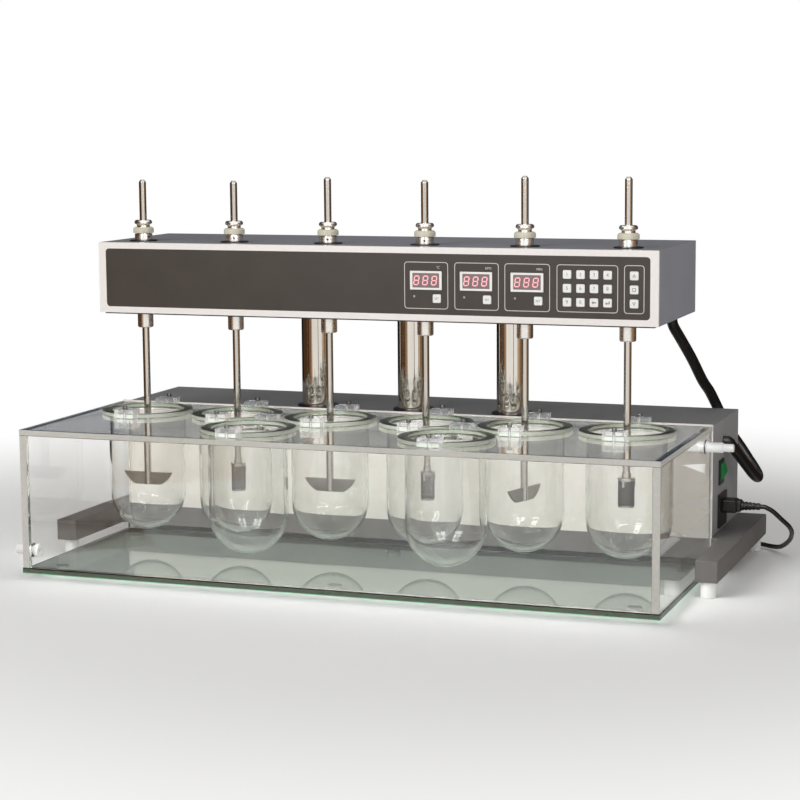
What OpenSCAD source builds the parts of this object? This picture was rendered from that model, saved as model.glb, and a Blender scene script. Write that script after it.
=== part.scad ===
// Dissolution tester: a water bath with round-bottomed vessels, and a lifting head
// whose spindles hang paddles and baskets into them. Millimetres, +Z up, +X to the
// right seen from the front. The origin lies on the bench, under the middle of the object.

/* [Spindles and vessels] */
// Distance from the rear row of vessels to the front row
row_gap = 120; // [116:1:124]
// Distance from the cabinet's front to the rear row of vessels
row_setback = 103; // [100:1:108]
// Inside diameter of a vessel
vessel_id = 102; // [98:1:104]
// Wall of a vessel
vessel_wall = 2.5; // [2:0.5:3]
// Outer diameter of a vessel's flange
flange_d = 128; // [124:1:130]
// Space between neighbouring flanges
flange_space = 12; // [8:0.5:18]
// Thickness of a vessel's flange
flange_t = 6; // [4:0.5:8]
// Depth of a vessel from the flange's top to the bottom
vessel_depth = 172; // [160:1:176]
// Diameter of a shaft
shaft_d = 10; // [9.5:0.1:10.5]
// Length of a shaft
shaft_l = 433; // [420:1:450]
// Height of a paddle's lower edge above the bench
paddle_z = 104; // [98:1:112]
// Width of a paddle's upper edge
paddle_w = 74.5; // [70:0.5:78]
// Radius of a paddle's rounded ends
paddle_r = 41.5; // [40:0.5:43]
// Height of a paddle's blade
paddle_h = 18; // [15:0.5:20]
// Thickness of a paddle's blade
paddle_t = 4; // [3:0.5:5]
// Diameter of a basket
basket_d = 22; // [20:0.5:25]
// Height of a basket's mesh
basket_h = 37; // [34:1:40]

/* [Head] */
// Distance from the outermost spindles to the head's ends
head_end = 50; // [46:1:60]
// Distance from the columns to the head's back
head_tail = 34; // [30:1:44]
// Height of the head
head_h = 98; // [96:1:110]
// Distance from the head's front to the spindles
head_nose = 41; // [40:1:44]
// Gap between the cabinet's top and the head at rest
head_clear = 148; // [135:1:155]
// Thickness of the head's front plate
plate_t = 4; // [4:0.5:5]
// Thickness of the fascia let into the front plate
fascia_t = 1.5; // [1:0.25:2]
// Width of the light frame at the fascia's ends
fascia_side = 11; // [9:0.5:14]
// Width of the light frame above and below the fascia
fascia_edge = 8.5; // [7:0.5:10]
// Thickness of the sheet of the head and the cabinet
sheet = 2; // [1.5:0.25:2.5]
// Radius of a drive pulley
pulley_r = 20; // [18:0.5:22]
// Diameter of the drive motor
motor_d = 56; // [50:1:60]

/* [Keys and displays] */
// Side of a key
key_w = 11.5; // [10:0.5:12]
// Travel of a key
key_travel = 0.6; // [0.4:0.1:0.8]
// Distance between neighbouring keys
key_pitch = 18; // [17:0.5:18.5]
// Width of a display's bezel
display_w = 44.5; // [40:0.5:46]
// Height of a display's bezel
display_h = 25; // [22:0.5:26]
// Distance between neighbouring displays
display_pitch = 69.8; // [66:0.1:70]

/* [Lift] */
// Diameter of a lift column
column_d = 45; // [42:0.5:48]
// Wall of a lift column
column_wall = 2.5; // [2:0.25:3]
// Distance between neighbouring columns
column_pitch = 148; // [140:1:156]
// Distance from the cabinet's front to the columns
column_setback = 44; // [40:1:50]
// Travel of the head below its place at rest
lift_down = 30; // [20:1:32]
// Diameter of the lift drive's rod
rod_d = 12; // [10:0.5:14]

/* [Cabinet and base] */
// Step from the bath's ends to the cabinet's sides
cabinet_in = 1; // [0:0.5:4]
// Depth of the cabinet
cabinet_d = 185; // [178:1:185]
// Height of the cabinet
cabinet_h = 152; // [150:1:156]
// Thickness of the cabinet's front panel
panel_t = 3; // [2:0.5:4]
// Lap of the front panel past the cabinet's sides
panel_lap = 1.6; // [0:0.2:3]
// Rise of the front panel above the cabinet's top
panel_rise = 3.2; // [0:0.2:5]
// Gap between the bath's ends and the base slab's arms
arm_gap = 9; // [6:0.5:14]
// Depth of the base slab from its arms' ends to its back
slab_d = 345; // [330:1:360]
// Thickness of the base slab
slab_t = 29; // [26:1:30]
// Width of the base slab's arms
arm_w = 30; // [26:1:32]
// Ledge of the base slab behind the cabinet
slab_back = 13; // [8:1:16]
// Diameter of a foot
foot_d = 20; // [18:1:24]
// Height of a foot
foot_h = 22; // [20:1:25]

/* [Water bath] */
// Ledge of the cover past the outermost flanges
end_ledge = 28; // [24:0.5:36]
// Ledge of the cover in front of the front row's flanges
front_ledge = 18.8; // [16:0.1:26]
// Height of the bath's walls
tank_wall_h = 182; // [178:1:190]
// Thickness of the bath's walls
tank_wall = 10; // [8:0.5:11]
// Thickness of the bath's glass floor
floor_t = 8; // [6:0.5:10]
// Ledge of the glass floor past the walls
floor_lip = 1; // [0.5:0.25:1]
// Thickness of the cover plate
cover_t = 8; // [6:0.5:10]
// Height of the pads under the bath
pad_h = 7; // [6:0.5:8]
// Width of a clamp block
clamp_w = 29; // [24:1:32]
// Depth of a clamp block
clamp_d = 22; // [20:1:24]
// Height of a clamp block
clamp_h = 13; // [11:0.5:15]

/* [Hidden] */
$fn = 64;
fit = 0.05;
gap = 0.3;
tight = 0.02;
bench = 0;

// Widths and depths that follow the vessels, the spindles and the columns
spindles = 6;
pitch = flange_d + flange_space;
row_w = (spindles - 1) * pitch;
tank_gap = gap;
tank_w = row_w + flange_d + 2 * end_ledge;
tank_d = row_setback - tank_gap + row_gap + flange_d / 2 + front_ledge;
cabinet_w = tank_w - 2 * cabinet_in;
slab_w = tank_w + 2 * (arm_gap + arm_w);
head_w = row_w + 2 * head_end;
head_d = head_nose + row_setback + column_setback + head_tail;

// Heights
slab_z0 = bench + foot_h;
slab_z1 = slab_z0 + slab_t;
cab_z1 = slab_z1 + cabinet_h;
floor_z0 = bench + pad_h;
wall_z0 = floor_z0 + floor_t;
cover_z0 = wall_z0 + tank_wall_h;
cover_z1 = cover_z0 + cover_t;
flange_z1 = cover_z1 + flange_t;
head_z0 = cab_z1 + head_clear;
head_z1 = head_z0 + head_h;

// Depths
cab_y0 = 53;
cab_y1 = cab_y0 + cabinet_d;
slab_y1 = cab_y1 + slab_back;
slab_y0 = slab_y1 - slab_d;
tank_y1 = cab_y0 - tank_gap;
tank_y0 = tank_y1 - tank_d;
spin_y = cab_y0 - row_setback;
front_row_y = spin_y - row_gap;
column_y = cab_y0 + column_setback;
head_y0 = spin_y - head_nose;
head_y1 = head_y0 + head_d;

// Spindles, columns and vessels by place
function spindle_x(i) = (i - (spindles + 1) / 2) * pitch;
column_x = [for (k = [-1:1]) k * column_pitch];
vessel_at = concat([for (i = [1:spindles]) [spindle_x(i), spin_y]],
                   [for (s = [-1, 1]) [s * pitch, front_row_y]]);
vessel_r = vessel_id / 2 + vessel_wall;
hole_gap = 1;

// Clamps: one at the front and one at the back of each flange
clamp_at = [for (v = vessel_at, s = [-1, 1]) [v[0], v[1], s]];
clamp_screw_out = clamp_d / 4;
clamp_over = 0.2;
screw_r = 2;
screw_head_r = 3.5;
screw_head_h = 4.5;
screw_bite = 5;

// Bath fittings: places along the walls and their turned profiles
nozzle_in = 45;
nozzle_y = cab_y0 - nozzle_in;
nozzle_drop = 14;
drain_in = 23;
drain_up = 21;
fitting_nut = 6;
fitting_nut_r = 9;
fitting_shank_r = 6;
fitting_bore_r = 3;
washer_t = 3;
washer_r = 8.6;
nozzle_barrel = 21;
nozzle_tip = 14;
drain_barrel = 18;
barrel_r = 6.8;
tip_r = 5.4;

// Spindle stack, from the head's top upwards and its underside downwards
bearing_r = 15;
bearing_l = 12;
seat_r = 19.5;
seat_t = 1.5;
spindle_r = 9;
bore_r = shaft_d / 2 + fit;
collar_r = 12.3;
collar_h = 8.5;
ring_r = 14.5;
ring_h = 8;
neck_h = 3.5;
chuck_h = 6.5;
stack_gap = 0.5;
nose_r = 11;
nose_l = 24;
nose_round = 2.5;
collar_z = head_z1 + seat_t + stack_gap;
ring_z = collar_z + collar_h + 2 * stack_gap;
chuck_z = ring_z + ring_h + neck_h;
set_screw_r = 1.5;
pulley_h = 14;
pulley_up = 42;
pulley_z = head_z0 + pulley_up;
belt_t = 2.5;
belt_h = 12;
motor_shaft_r = 4;
motor_gap = 3;

// Baskets and paddles
basket_cap_r = 12;
basket_cap_h = 2.4;
basket_hub_h = 7;
basket_hub_r = 6.4;
tip_chamfer = 1.5;
paddle_turn = [0, 0, 0, 0, 72, 0];
// Each shaft is set by hand in its chuck, a little above or below the common height
shaft_set = [-2, -3, 2.6, -1, 5, 4.4];

// Head front: displays, lamps and keys by place, x from the right end and z from the underside
display_in = 314.4;
display_x = head_w / 2 - display_in;
display_z = 54;
lamp_in = 16.5;
lamp_z = 32.6;
lamp_r = 1.5;
set_key_in = 15;
set_key_z = 30;
pad_in = 121;
pad_x = head_w / 2 - pad_in;
pad_z = 65.5;
lift_in = 32;
lift_x = head_w / 2 - lift_in;
lift_z = 65.2;
fascia_w = head_w - 2 * fascia_side;
fascia_h = head_h - 2 * fascia_edge;
fascia_r = 5;
proud = 0.8;
key_skirt = 1;
key_skirt_t = 1.2;
key_slack = 0.1;
board_gap = 4;
board_t = 1.6;
board_edge = 14;
switch_w = 6;
switch_gap = 0.2;
display_proud = 0.5;
function display_at(i) = display_x + (i - 1) * display_pitch;
function pad_key_at(i) = [pad_x + ((i - 1) % 4) * key_pitch, pad_z - floor((i - 1) / 4) * key_pitch];
function set_key_at(i) = [display_at(i) + set_key_in, set_key_z];
function lift_key_at(i) = [lift_x, lift_z - (i - 1) * key_pitch];
pad_keys = 12;
key_at = concat([for (i = [1:pad_keys]) pad_key_at(i)],
                [for (i = [1:3]) set_key_at(i)],
                [for (i = [1:3]) lift_key_at(i)]);

// Lift: columns, bushes and the drive inside the middle column
column_foot = 3;
column_z0 = slab_z1 + lift_down + column_foot;
column_collar_h = 7;
column_collar_r = column_d / 2 + 3;
bush_flange_h = 3;
bush_wall = 2.5;
bush_l = 40;
bush_flange = 4.5;
drive_r = 17;
drive_drop = 7;
drive_top = cab_z1 - drive_drop;
drive_end = 3;
rod_end = 1;

// Cabinet fittings on the right side: y from the cabinet's front, z from the slab's top
rocker_set = 63;
rocker_up = 81.5;
rocker_y = cab_y0 + rocker_set;
rocker_z = slab_z1 + rocker_up;
frame_w = 28;
frame_h = 34;
frame_t = 2.5;
frame_body_w = 24;
frame_body_h = 30;
frame_depth = 16;
rocker_w = 19.4;
rocker_h = 24.6;
rocker_peak = 7.5;
rocker_back = 7;
rocker_tilt = 7;
rocker_pin_r = 1.5;
rocker_pin_l = 1.5;
rocker_in = 1;
inlet_set = 70;
inlet_up = 28;
inlet_y = cab_y0 + inlet_set;
inlet_z = slab_z1 + inlet_up;
inlet_w = 50;
inlet_h = 46;
inlet_t = 3;
inlet_body_w = 40;
inlet_body_h = 38;
inlet_depth = 22;
socket_up = 34;
socket_z = slab_z1 + socket_up;
socket_w = 22;
socket_h = 16;
socket_depth = 15;
connector_w = 25;
connector_h = 18;
connector_l = 26;
relief_l = 25;
relief_r0 = 6.5;
relief_r1 = 4.4;

// Mains lead: lies from the connector to the bench, then behind the base into a tied coil
cord_d = 6.5;
cord_sides = 8;
cord_x0 = cabinet_w / 2 + inlet_t + connector_l + relief_l;
cord_lie = 5.4;
coil_x = 330;
coil_y = 319;
coil_turns = 3;
coil_r0 = 50;
coil_tail = 51;
coil_step = 7.2;
coil_layer = 7.2;
coil_rings = 24;
coil_sides = 6;
cord_start = [cord_x0, inlet_y, socket_z];
cord_end = [coil_x + cord_d, coil_y - coil_r0, cord_lie];
cord_route = [cord_start + [cord_d, 0, 0], [512, 126, 79], [523, 133, 67], [531, 147, 55], [532, 165, 43],
              [524, 195, 26], [507, 225, 10], [490, 245, cord_lie], [470, 258, cord_lie],
              [440, 266, cord_lie], [400, coil_y - coil_r0, cord_lie], cord_end + [cord_d, 0, 0]];
tie_w = 6;
tie_t = 1.2;
tie_gap = 0.8;
plug_l = 34;
plug_w = 30;
plug_h = 25;
pin_l = 18;
pin_w = 6.4;
pin_t = 1.6;

// Wiring hose: from under the head, behind the cabinet, out to the side and back into it
hose_d = 15;
hose_sides = 12;
hose_start = [372, 110, head_z0];
hose_end = [cabinet_w / 2, 134, 172];
hose_route = [hose_start - [0, 0, hose_d / 2], [373, 116, 332], [378, 140, 312], [386, 178, 280], [394, 212, 246],
              [400, 233, 228], [406, 245.5, 210], [413, 249, 194], [420, 250, 180], [428, 250, 167],
              [437, 249.8, 155], [446, 248.5, 143], [455, 245, 131], [464.5, 238.5, 120], [472.5, 225, 112.5],
              [475.5, 206, 111.5], [472.8, 188, 119], [468.3, 172, 131], [461.5, 156, 146], [454.3, 143.5, 160],
              hose_end + [hose_d / 2, 0, 0]];

// Heating and circulation unit inside the cabinet
unit_w = 190;
unit_d = 110;
unit_h = 80;
unit_gap = 4.5;
unit_x = -(column_pitch + column_d / 2 + unit_gap + unit_w / 2);
pump_r = 32;
pump_h = 40;

// A block centred on x and y, standing on z = 0
module block(w, d, h) {
    translate([-w / 2, -d / 2, 0])
        cube([w, d, h]);
}

// A rectangle with round corners, centred
module rounded(w, h, r) {
    square([w - 2 * r, h], center = true);
    square([w, h - 2 * r], center = true);
    for (x = [-1, 1], y = [-1, 1])
        translate([x * (w / 2 - r), y * (h / 2 - r)])
            circle(r);
}

// A flat outline that stands upright, its front at y and reaching back by t
module upright(y, t) {
    translate([0, y + t, 0])
        rotate([90, 0, 0])
            linear_extrude(t)
                children();
}

// A turned profile along +X
module turned_x() {
    rotate([0, 90, 0])
        rotate_extrude()
            children();
}

// Tube swept along points: one ring at each point, square to the way it runs
function unit(v) = v / norm(v);
function side_of(t) = unit(cross(abs(t[2]) > 0.9 ? [0, 1, 0] : [0, 0, 1], t));
function run_at(p, i) = unit(p[min(i + 1, len(p) - 1)] - p[max(i - 1, 0)]);
function carry(p, i, s) = unit(s - run_at(p, i) * (s * run_at(p, i)));
function sides_of(p) = [for (i = 0, s = side_of(run_at(p, 0)); i < len(p); i = i + 1,
                             s = i < len(p) ? carry(p, i, s) : s) s];
module swept(p, r, n) {
    sides = sides_of(p);
    rings = [for (i = [0:len(p) - 1], k = [0:n - 1])
        let (t = run_at(p, i), s = sides[i], u = cross(t, s), a = 360 * k / n)
            p[i] + r * (cos(a) * s + sin(a) * u)];
    last = (len(p) - 1) * n;
    walls = [for (i = [0:len(p) - 2], k = [0:n - 1])
        let (a = i * n + k, b = i * n + (k + 1) % n)
            each [[a, a + n, b], [b, a + n, b + n]]];
    ends = concat([for (k = [1:n - 2]) [0, k, k + 1]],
                  [for (k = [1:n - 2]) [last, last + k + 1, last + k]]);
    polyhedron(points = rings, faces = concat(walls, ends));
}

// Smooth course through the chosen points, with a few points between each pair
function knot(p, i) = p[max(0, min(len(p) - 1, i))];
function course(p, n) = concat([for (i = [0:len(p) - 2], k = [0:n - 1])
    let (t = k / n, a = knot(p, i - 1), b = knot(p, i), c = knot(p, i + 1), d = knot(p, i + 2))
        0.5 * (2 * b + (c - a) * t + (2 * a - 5 * b + 4 * c - d) * t * t + (3 * b - a - 3 * c + d) * t * t * t)],
    [p[len(p) - 1]]);

// Coil of the lead: spirals in on the lower layer, climbs, and spirals out on the upper one
function coil_r(t) = coil_r0 - coil_step * (coil_turns - abs(t - coil_turns));
function coil_climb(t) = max(0, min(1, 2 * (t - coil_turns) + 0.5));
function coil_point(t) = [coil_x + coil_r(t) * cos(-90 - 360 * t), coil_y + coil_r(t) * sin(-90 - 360 * t),
                          cord_lie + coil_layer * coil_climb(t)];
coil_top = cord_lie + coil_layer;
coil_run = concat([[coil_x + cord_d, coil_y - coil_r0, cord_lie]],
                  [for (k = [0:2 * coil_turns * coil_rings]) coil_point(k / coil_rings)],
                  [for (k = [1:3]) [coil_x - k * coil_tail / 3, coil_y - coil_r0, coil_top]]);
coil_gap = min([for (i = [0:len(coil_run) - 1], j = [i + 6:1:len(coil_run) - 1])
    norm(coil_run[i] - coil_run[j])]) - cord_d;
echo(least_gap_in_coil = coil_gap);

module base_slab() {
    color("#3d3a38")
        difference() {
            translate([-slab_w / 2, slab_y0, slab_z0])
                cube([slab_w, slab_d, slab_t]);
            translate([-slab_w / 2 + arm_w, slab_y0 - gap, slab_z0 - gap])
                cube([slab_w - 2 * arm_w, cab_y0 - slab_y0 + gap, slab_t + 2 * gap]);
        }
}

module rest_feet() {
    color("white") {
        for (x = [-1, 1], y = [slab_y0 + arm_w / 2, slab_y1 - arm_w / 2])
            translate([x * (slab_w - arm_w) / 2, y, bench])
                cylinder(d = foot_d, h = foot_h);
        for (k = [-1:1], y = [tank_y0 + 2 * foot_d, tank_y1 - 2 * foot_d])
            translate([k * (tank_w / 2 - 2 * foot_d), y, bench])
                cylinder(d = foot_d, h = pad_h);
    }
}

module cabinet_shell() {
    color("#85827f")
        difference() {
            translate([-cabinet_w / 2, cab_y0 + panel_t, slab_z1])
                cube([cabinet_w, cabinet_d - panel_t, cabinet_h]);
            translate([-cabinet_w / 2 + sheet, cab_y0, slab_z1 - gap])
                cube([cabinet_w - 2 * sheet, cabinet_d - sheet, cabinet_h - sheet + gap]);
            for (x = column_x)
                translate([x, column_y, cab_z1 - 2 * sheet])
                    cylinder(r = column_d / 2 + bush_wall + gap, h = 3 * sheet);
            translate([cabinet_w / 2 - 2 * sheet, rocker_y - frame_body_w / 2 - gap,
                       rocker_z - frame_body_h / 2 - gap])
                cube([3 * sheet, frame_body_w + 2 * gap, frame_body_h + 2 * gap]);
            translate([cabinet_w / 2 - 2 * sheet, inlet_y - inlet_body_w / 2 - gap,
                       inlet_z - inlet_body_h / 2 - gap])
                cube([3 * sheet, inlet_body_w + 2 * gap, inlet_body_h + 2 * gap]);
        }
}

module cabinet_front() {
    color("#efe9da")
        translate([-cabinet_w / 2 - panel_lap, cab_y0, slab_z1])
            cube([cabinet_w + 2 * panel_lap, panel_t, cabinet_h + panel_rise]);
}

module lift_columns() {
    color("#d9d6d0")
        for (x = column_x)
            translate([x, column_y, 0])
                difference() {
                    union() {
                        translate([0, 0, column_z0])
                            cylinder(d = column_d, h = head_z0 - column_z0);
                        translate([0, 0, head_z0 - column_collar_h])
                            cylinder(r = column_collar_r, h = column_collar_h);
                    }
                    translate([0, 0, column_z0 - gap])
                        cylinder(d = column_d - 2 * column_wall, h = head_z0 - column_z0 + 2 * gap);
                }
}

module column_bushes() {
    color("#1d1c1c")
        for (x = column_x)
            translate([x, column_y, cab_z1])
                difference() {
                    union() {
                        cylinder(r = column_d / 2 + bush_wall + bush_flange, h = bush_flange_h);
                        translate([0, 0, -bush_l])
                            cylinder(r = column_d / 2 + bush_wall, h = bush_l);
                    }
                    translate([0, 0, -bush_l - gap])
                        cylinder(r = column_d / 2 + fit, h = bush_l + bush_flange_h + 2 * gap);
                }
}

module lift_drive() {
    color("#5a5a5c")
        translate([0, column_y, slab_z1])
            difference() {
                cylinder(r = drive_r, h = drive_top - slab_z1);
                translate([0, 0, drive_end])
                    cylinder(r = rod_d / 2 + fit, h = drive_top - slab_z1);
            }
}

module lift_rod() {
    color("silver")
        translate([0, column_y, slab_z1 + lift_down + drive_end + rod_end])
            cylinder(d = rod_d, h = head_z0 - slab_z1 - lift_down - drive_end - rod_end);
}

module tank_walls() {
    color("#c9dcea", 0.4)
        difference() {
            translate([-tank_w / 2, tank_y0, wall_z0])
                cube([tank_w, tank_d, tank_wall_h]);
            translate([-tank_w / 2 + tank_wall, tank_y0 + tank_wall, wall_z0 - gap])
                cube([tank_w - 2 * tank_wall, tank_d - 2 * tank_wall, tank_wall_h + 2 * gap]);
            translate([tank_w / 2 - 2 * tank_wall, nozzle_y, cover_z0 - nozzle_drop])
                rotate([0, 90, 0])
                    cylinder(r = fitting_shank_r + tight, h = 3 * tank_wall);
            translate([-tank_w / 2 - tank_wall, tank_y0 + drain_in, wall_z0 + drain_up])
                rotate([0, 90, 0])
                    cylinder(r = fitting_shank_r + tight, h = 3 * tank_wall);
        }
}

module tank_floor() {
    color("#9fc7b4", 0.6)
        translate([-tank_w / 2 - floor_lip, tank_y0 - floor_lip, floor_z0])
            cube([tank_w + 2 * floor_lip, tank_d + 2 * floor_lip, floor_t]);
}

module tank_cover() {
    color("#d5e4ec", 0.4)
        difference() {
            translate([-tank_w / 2, tank_y0, cover_z0])
                cube([tank_w, tank_d, cover_t]);
            for (v = vessel_at)
                translate([v[0], v[1], cover_z0 - gap])
                    cylinder(r = vessel_r + hole_gap, h = cover_t + 2 * gap);
            for (c = clamp_at)
                translate([c[0], c[1] + c[2] * (flange_d / 2 + clamp_screw_out), cover_z1 - screw_bite - gap])
                    cylinder(r = screw_r + tight, h = screw_bite + 2 * gap);
        }
}

// One round-bottomed vessel, its flange resting on the cover
module vessel() {
    ball_z = flange_z1 - vessel_depth + vessel_r;
    rotate_extrude()
        difference() {
            union() {
                translate([0, ball_z])
                    circle(vessel_r);
                translate([0, ball_z])
                    square([vessel_r, flange_z1 - ball_z]);
                translate([0, cover_z1])
                    square([flange_d / 2, flange_t]);
            }
            translate([0, ball_z])
                circle(vessel_id / 2);
            translate([0, ball_z])
                square([vessel_id / 2, flange_z1 - ball_z + gap]);
            translate([-2 * vessel_r, 0])
                square([2 * vessel_r, 2 * flange_z1]);
        }
}

module vessels() {
    color("#dfeee6", 0.4)
        for (v = vessel_at)
            translate([v[0], v[1], 0])
                vessel();
}

module vessel_clamps() {
    color("#e3e8ea", 0.6)
        for (c = clamp_at)
            translate([c[0], c[1], cover_z1])
                difference() {
                    translate([0, c[2] * flange_d / 2, 0])
                        block(clamp_w, clamp_d, clamp_h);
                    translate([0, 0, -gap])
                        cylinder(r = flange_d / 2 + clamp_over, h = flange_t + gap + tight);
                    translate([0, c[2] * (flange_d / 2 + clamp_screw_out), -gap])
                        cylinder(r = screw_r + tight, h = clamp_h + 2 * gap);
                }
}

// A small round-headed screw standing on z = 0
module small_screw(shank) {
    translate([0, 0, -shank])
        cylinder(r = screw_r, h = shank + gap);
    cylinder(r1 = screw_head_r, r2 = screw_head_r * 0.8, h = screw_head_h);
}

module small_screws() {
    color("#3a3a3c")
        for (c = clamp_at)
            translate([c[0], c[1] + c[2] * (flange_d / 2 + clamp_screw_out), cover_z1 + clamp_h])
                small_screw(clamp_h + screw_bite);
}

// Bath fitting: nut, shank through the wall, washer, barrel and an optional narrow tip, along +X
module fitting(barrel, tip) {
    turned_x()
        difference() {
            union() {
                translate([0, -tank_wall - fitting_nut])
                    square([fitting_nut_r, fitting_nut]);
                translate([0, -tank_wall - fitting_nut])
                    square([fitting_shank_r, tank_wall + fitting_nut + washer_t]);
                square([washer_r, washer_t]);
                translate([0, washer_t])
                    square([barrel_r, barrel]);
                translate([0, washer_t])
                    square([tip_r, barrel + tip]);
            }
            translate([-fitting_bore_r, -tank_wall - 2 * fitting_nut])
                square([2 * fitting_bore_r, tank_wall + 4 * fitting_nut + barrel + tip]);
        }
}

module tank_fittings() {
    color("#f4f4f2") {
        translate([tank_w / 2, nozzle_y, cover_z0 - nozzle_drop])
            fitting(nozzle_barrel, nozzle_tip);
        translate([-tank_w / 2, tank_y0 + drain_in, wall_z0 + drain_up])
            mirror([1, 0, 0])
                fitting(drain_barrel, 0);
    }
}

module head_shell() {
    color("#77757a")
        difference() {
            translate([-head_w / 2, head_y0 + plate_t, head_z0])
                cube([head_w, head_d - plate_t, head_h]);
            translate([-head_w / 2 + sheet, head_y0, head_z0 + sheet])
                cube([head_w - 2 * sheet, head_d - sheet, head_h - 2 * sheet]);
            for (i = [1:spindles])
                translate([spindle_x(i), spin_y, head_z0 - sheet])
                    cylinder(r = bearing_r + tight, h = head_h + 2 * sheet);
        }
}

module head_front() {
    color("#ece7e2")
        difference() {
            translate([-head_w / 2, head_y0, head_z0])
                cube([head_w, plate_t, head_h]);
            translate([0, 0, head_z0 + head_h / 2])
                upright(head_y0 - gap, fascia_t + gap)
                    rounded(fascia_w + 2 * tight, fascia_h + 2 * tight, fascia_r);
            for (i = [1:3])
                translate([display_at(i), 0, head_z0 + display_z])
                    upright(head_y0, plate_t + gap)
                        square([display_w + 2 * gap, display_h + 2 * gap], center = true);
            for (i = [1:3])
                translate([display_at(i) - lamp_in, 0, head_z0 + lamp_z])
                    upright(head_y0, plate_t + gap)
                        circle(lamp_r + gap);
            for (k = key_at)
                translate([k[0], 0, head_z0 + k[1]])
                    upright(head_y0, plate_t + gap)
                        square(key_w + 2 * key_skirt + 2 * gap, center = true);
        }
}

module head_fascia() {
    color("#4a443f")
        difference() {
            translate([0, 0, head_z0 + head_h / 2])
                upright(head_y0, fascia_t)
                    rounded(fascia_w, fascia_h, fascia_r);
            for (i = [1:3])
                translate([display_at(i), 0, head_z0 + display_z])
                    upright(head_y0 - gap, fascia_t + 2 * gap)
                        square([display_w + 2 * gap, display_h + 2 * gap], center = true);
            for (i = [1:3])
                translate([display_at(i) - lamp_in, 0, head_z0 + lamp_z])
                    upright(head_y0 - gap, fascia_t + 2 * gap)
                        circle(lamp_r + gap);
            for (k = key_at)
                translate([k[0], 0, head_z0 + k[1]])
                    upright(head_y0 - gap, fascia_t + 2 * gap)
                        square(key_w + 2 * gap, center = true);
        }
}

// Board behind the front plate, with three displays, three lamps and a switch behind each key
module display_board() {
    board_y = head_y0 + plate_t + board_gap;
    switch_y = head_y0 + fascia_t + key_slack + key_skirt_t + key_travel + switch_gap;
    left = display_at(1) - display_w / 2 - board_edge;
    right = lift_x + key_w / 2 + key_skirt;
    color("#8c1f1c") {
        translate([left, board_y, head_z0 + board_edge])
            cube([right - left, board_t, head_h - 2 * board_edge]);
        for (i = [1:3]) {
            translate([display_at(i), 0, head_z0 + display_z])
                upright(head_y0 - display_proud, board_y - head_y0 + display_proud + board_t / 2)
                    square([display_w, display_h], center = true);
            translate([display_at(i) - lamp_in, 0, head_z0 + lamp_z])
                upright(head_y0 - display_proud, board_y - head_y0 + display_proud + board_t / 2)
                    circle(lamp_r);
        }
        for (k = key_at)
            translate([k[0], 0, head_z0 + k[1]])
                upright(switch_y, board_y - switch_y + board_t / 2)
                    square(switch_w, center = true);
    }
}

// Flanged bushes: the upper ones seat on the head's top, the lower ones on its floor
module spindle_bearings() {
    color("#2b2a2c")
        for (i = [1:spindles])
            translate([spindle_x(i), spin_y, 0]) {
                difference() {
                    union() {
                        translate([0, 0, head_z1])
                            cylinder(r = seat_r, h = seat_t);
                        translate([0, 0, head_z1 - bearing_l])
                            cylinder(r = bearing_r, h = bearing_l);
                    }
                    translate([0, 0, head_z1 - bearing_l - gap])
                        cylinder(r = spindle_r + fit, h = bearing_l + seat_t + 2 * gap);
                }
                difference() {
                    union() {
                        translate([0, 0, head_z0 + sheet])
                            cylinder(r = seat_r, h = seat_t);
                        translate([0, 0, head_z0])
                            cylinder(r = bearing_r, h = bearing_l);
                    }
                    translate([0, 0, head_z0 - gap])
                        cylinder(r = spindle_r + fit, h = bearing_l + 2 * gap);
                }
            }
}

module drive_motor() {
    color("#555558")
        translate([0, spin_y, head_z0 + sheet])
            difference() {
                cylinder(d = motor_d, h = pulley_z - motor_gap - head_z0 - sheet);
                translate([0, 0, 2 * sheet])
                    cylinder(r = motor_shaft_r + fit, h = pulley_z);
            }
}

module drive_pulley() {
    color("silver")
        translate([0, spin_y, 0]) {
            translate([0, 0, pulley_z])
                cylinder(r = pulley_r, h = pulley_h);
            translate([0, 0, head_z0 + 4 * sheet])
                cylinder(r = motor_shaft_r, h = pulley_z - head_z0 - 4 * sheet + gap);
        }
}

// Outline of the belt's inside, at a distance from the row of pulley centres
module belt_line(r) {
    square([(spindles - 1) * pitch, 2 * r], center = true);
    for (s = [-1, 1])
        translate([s * (spindles - 1) * pitch / 2, 0])
            circle(r);
}

module drive_belt() {
    color("#202020")
        translate([0, spin_y, pulley_z + (pulley_h - belt_h) / 2])
            linear_extrude(belt_h)
                difference() {
                    belt_line(pulley_r + gap + belt_t);
                    belt_line(pulley_r + gap);
                }
}

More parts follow.
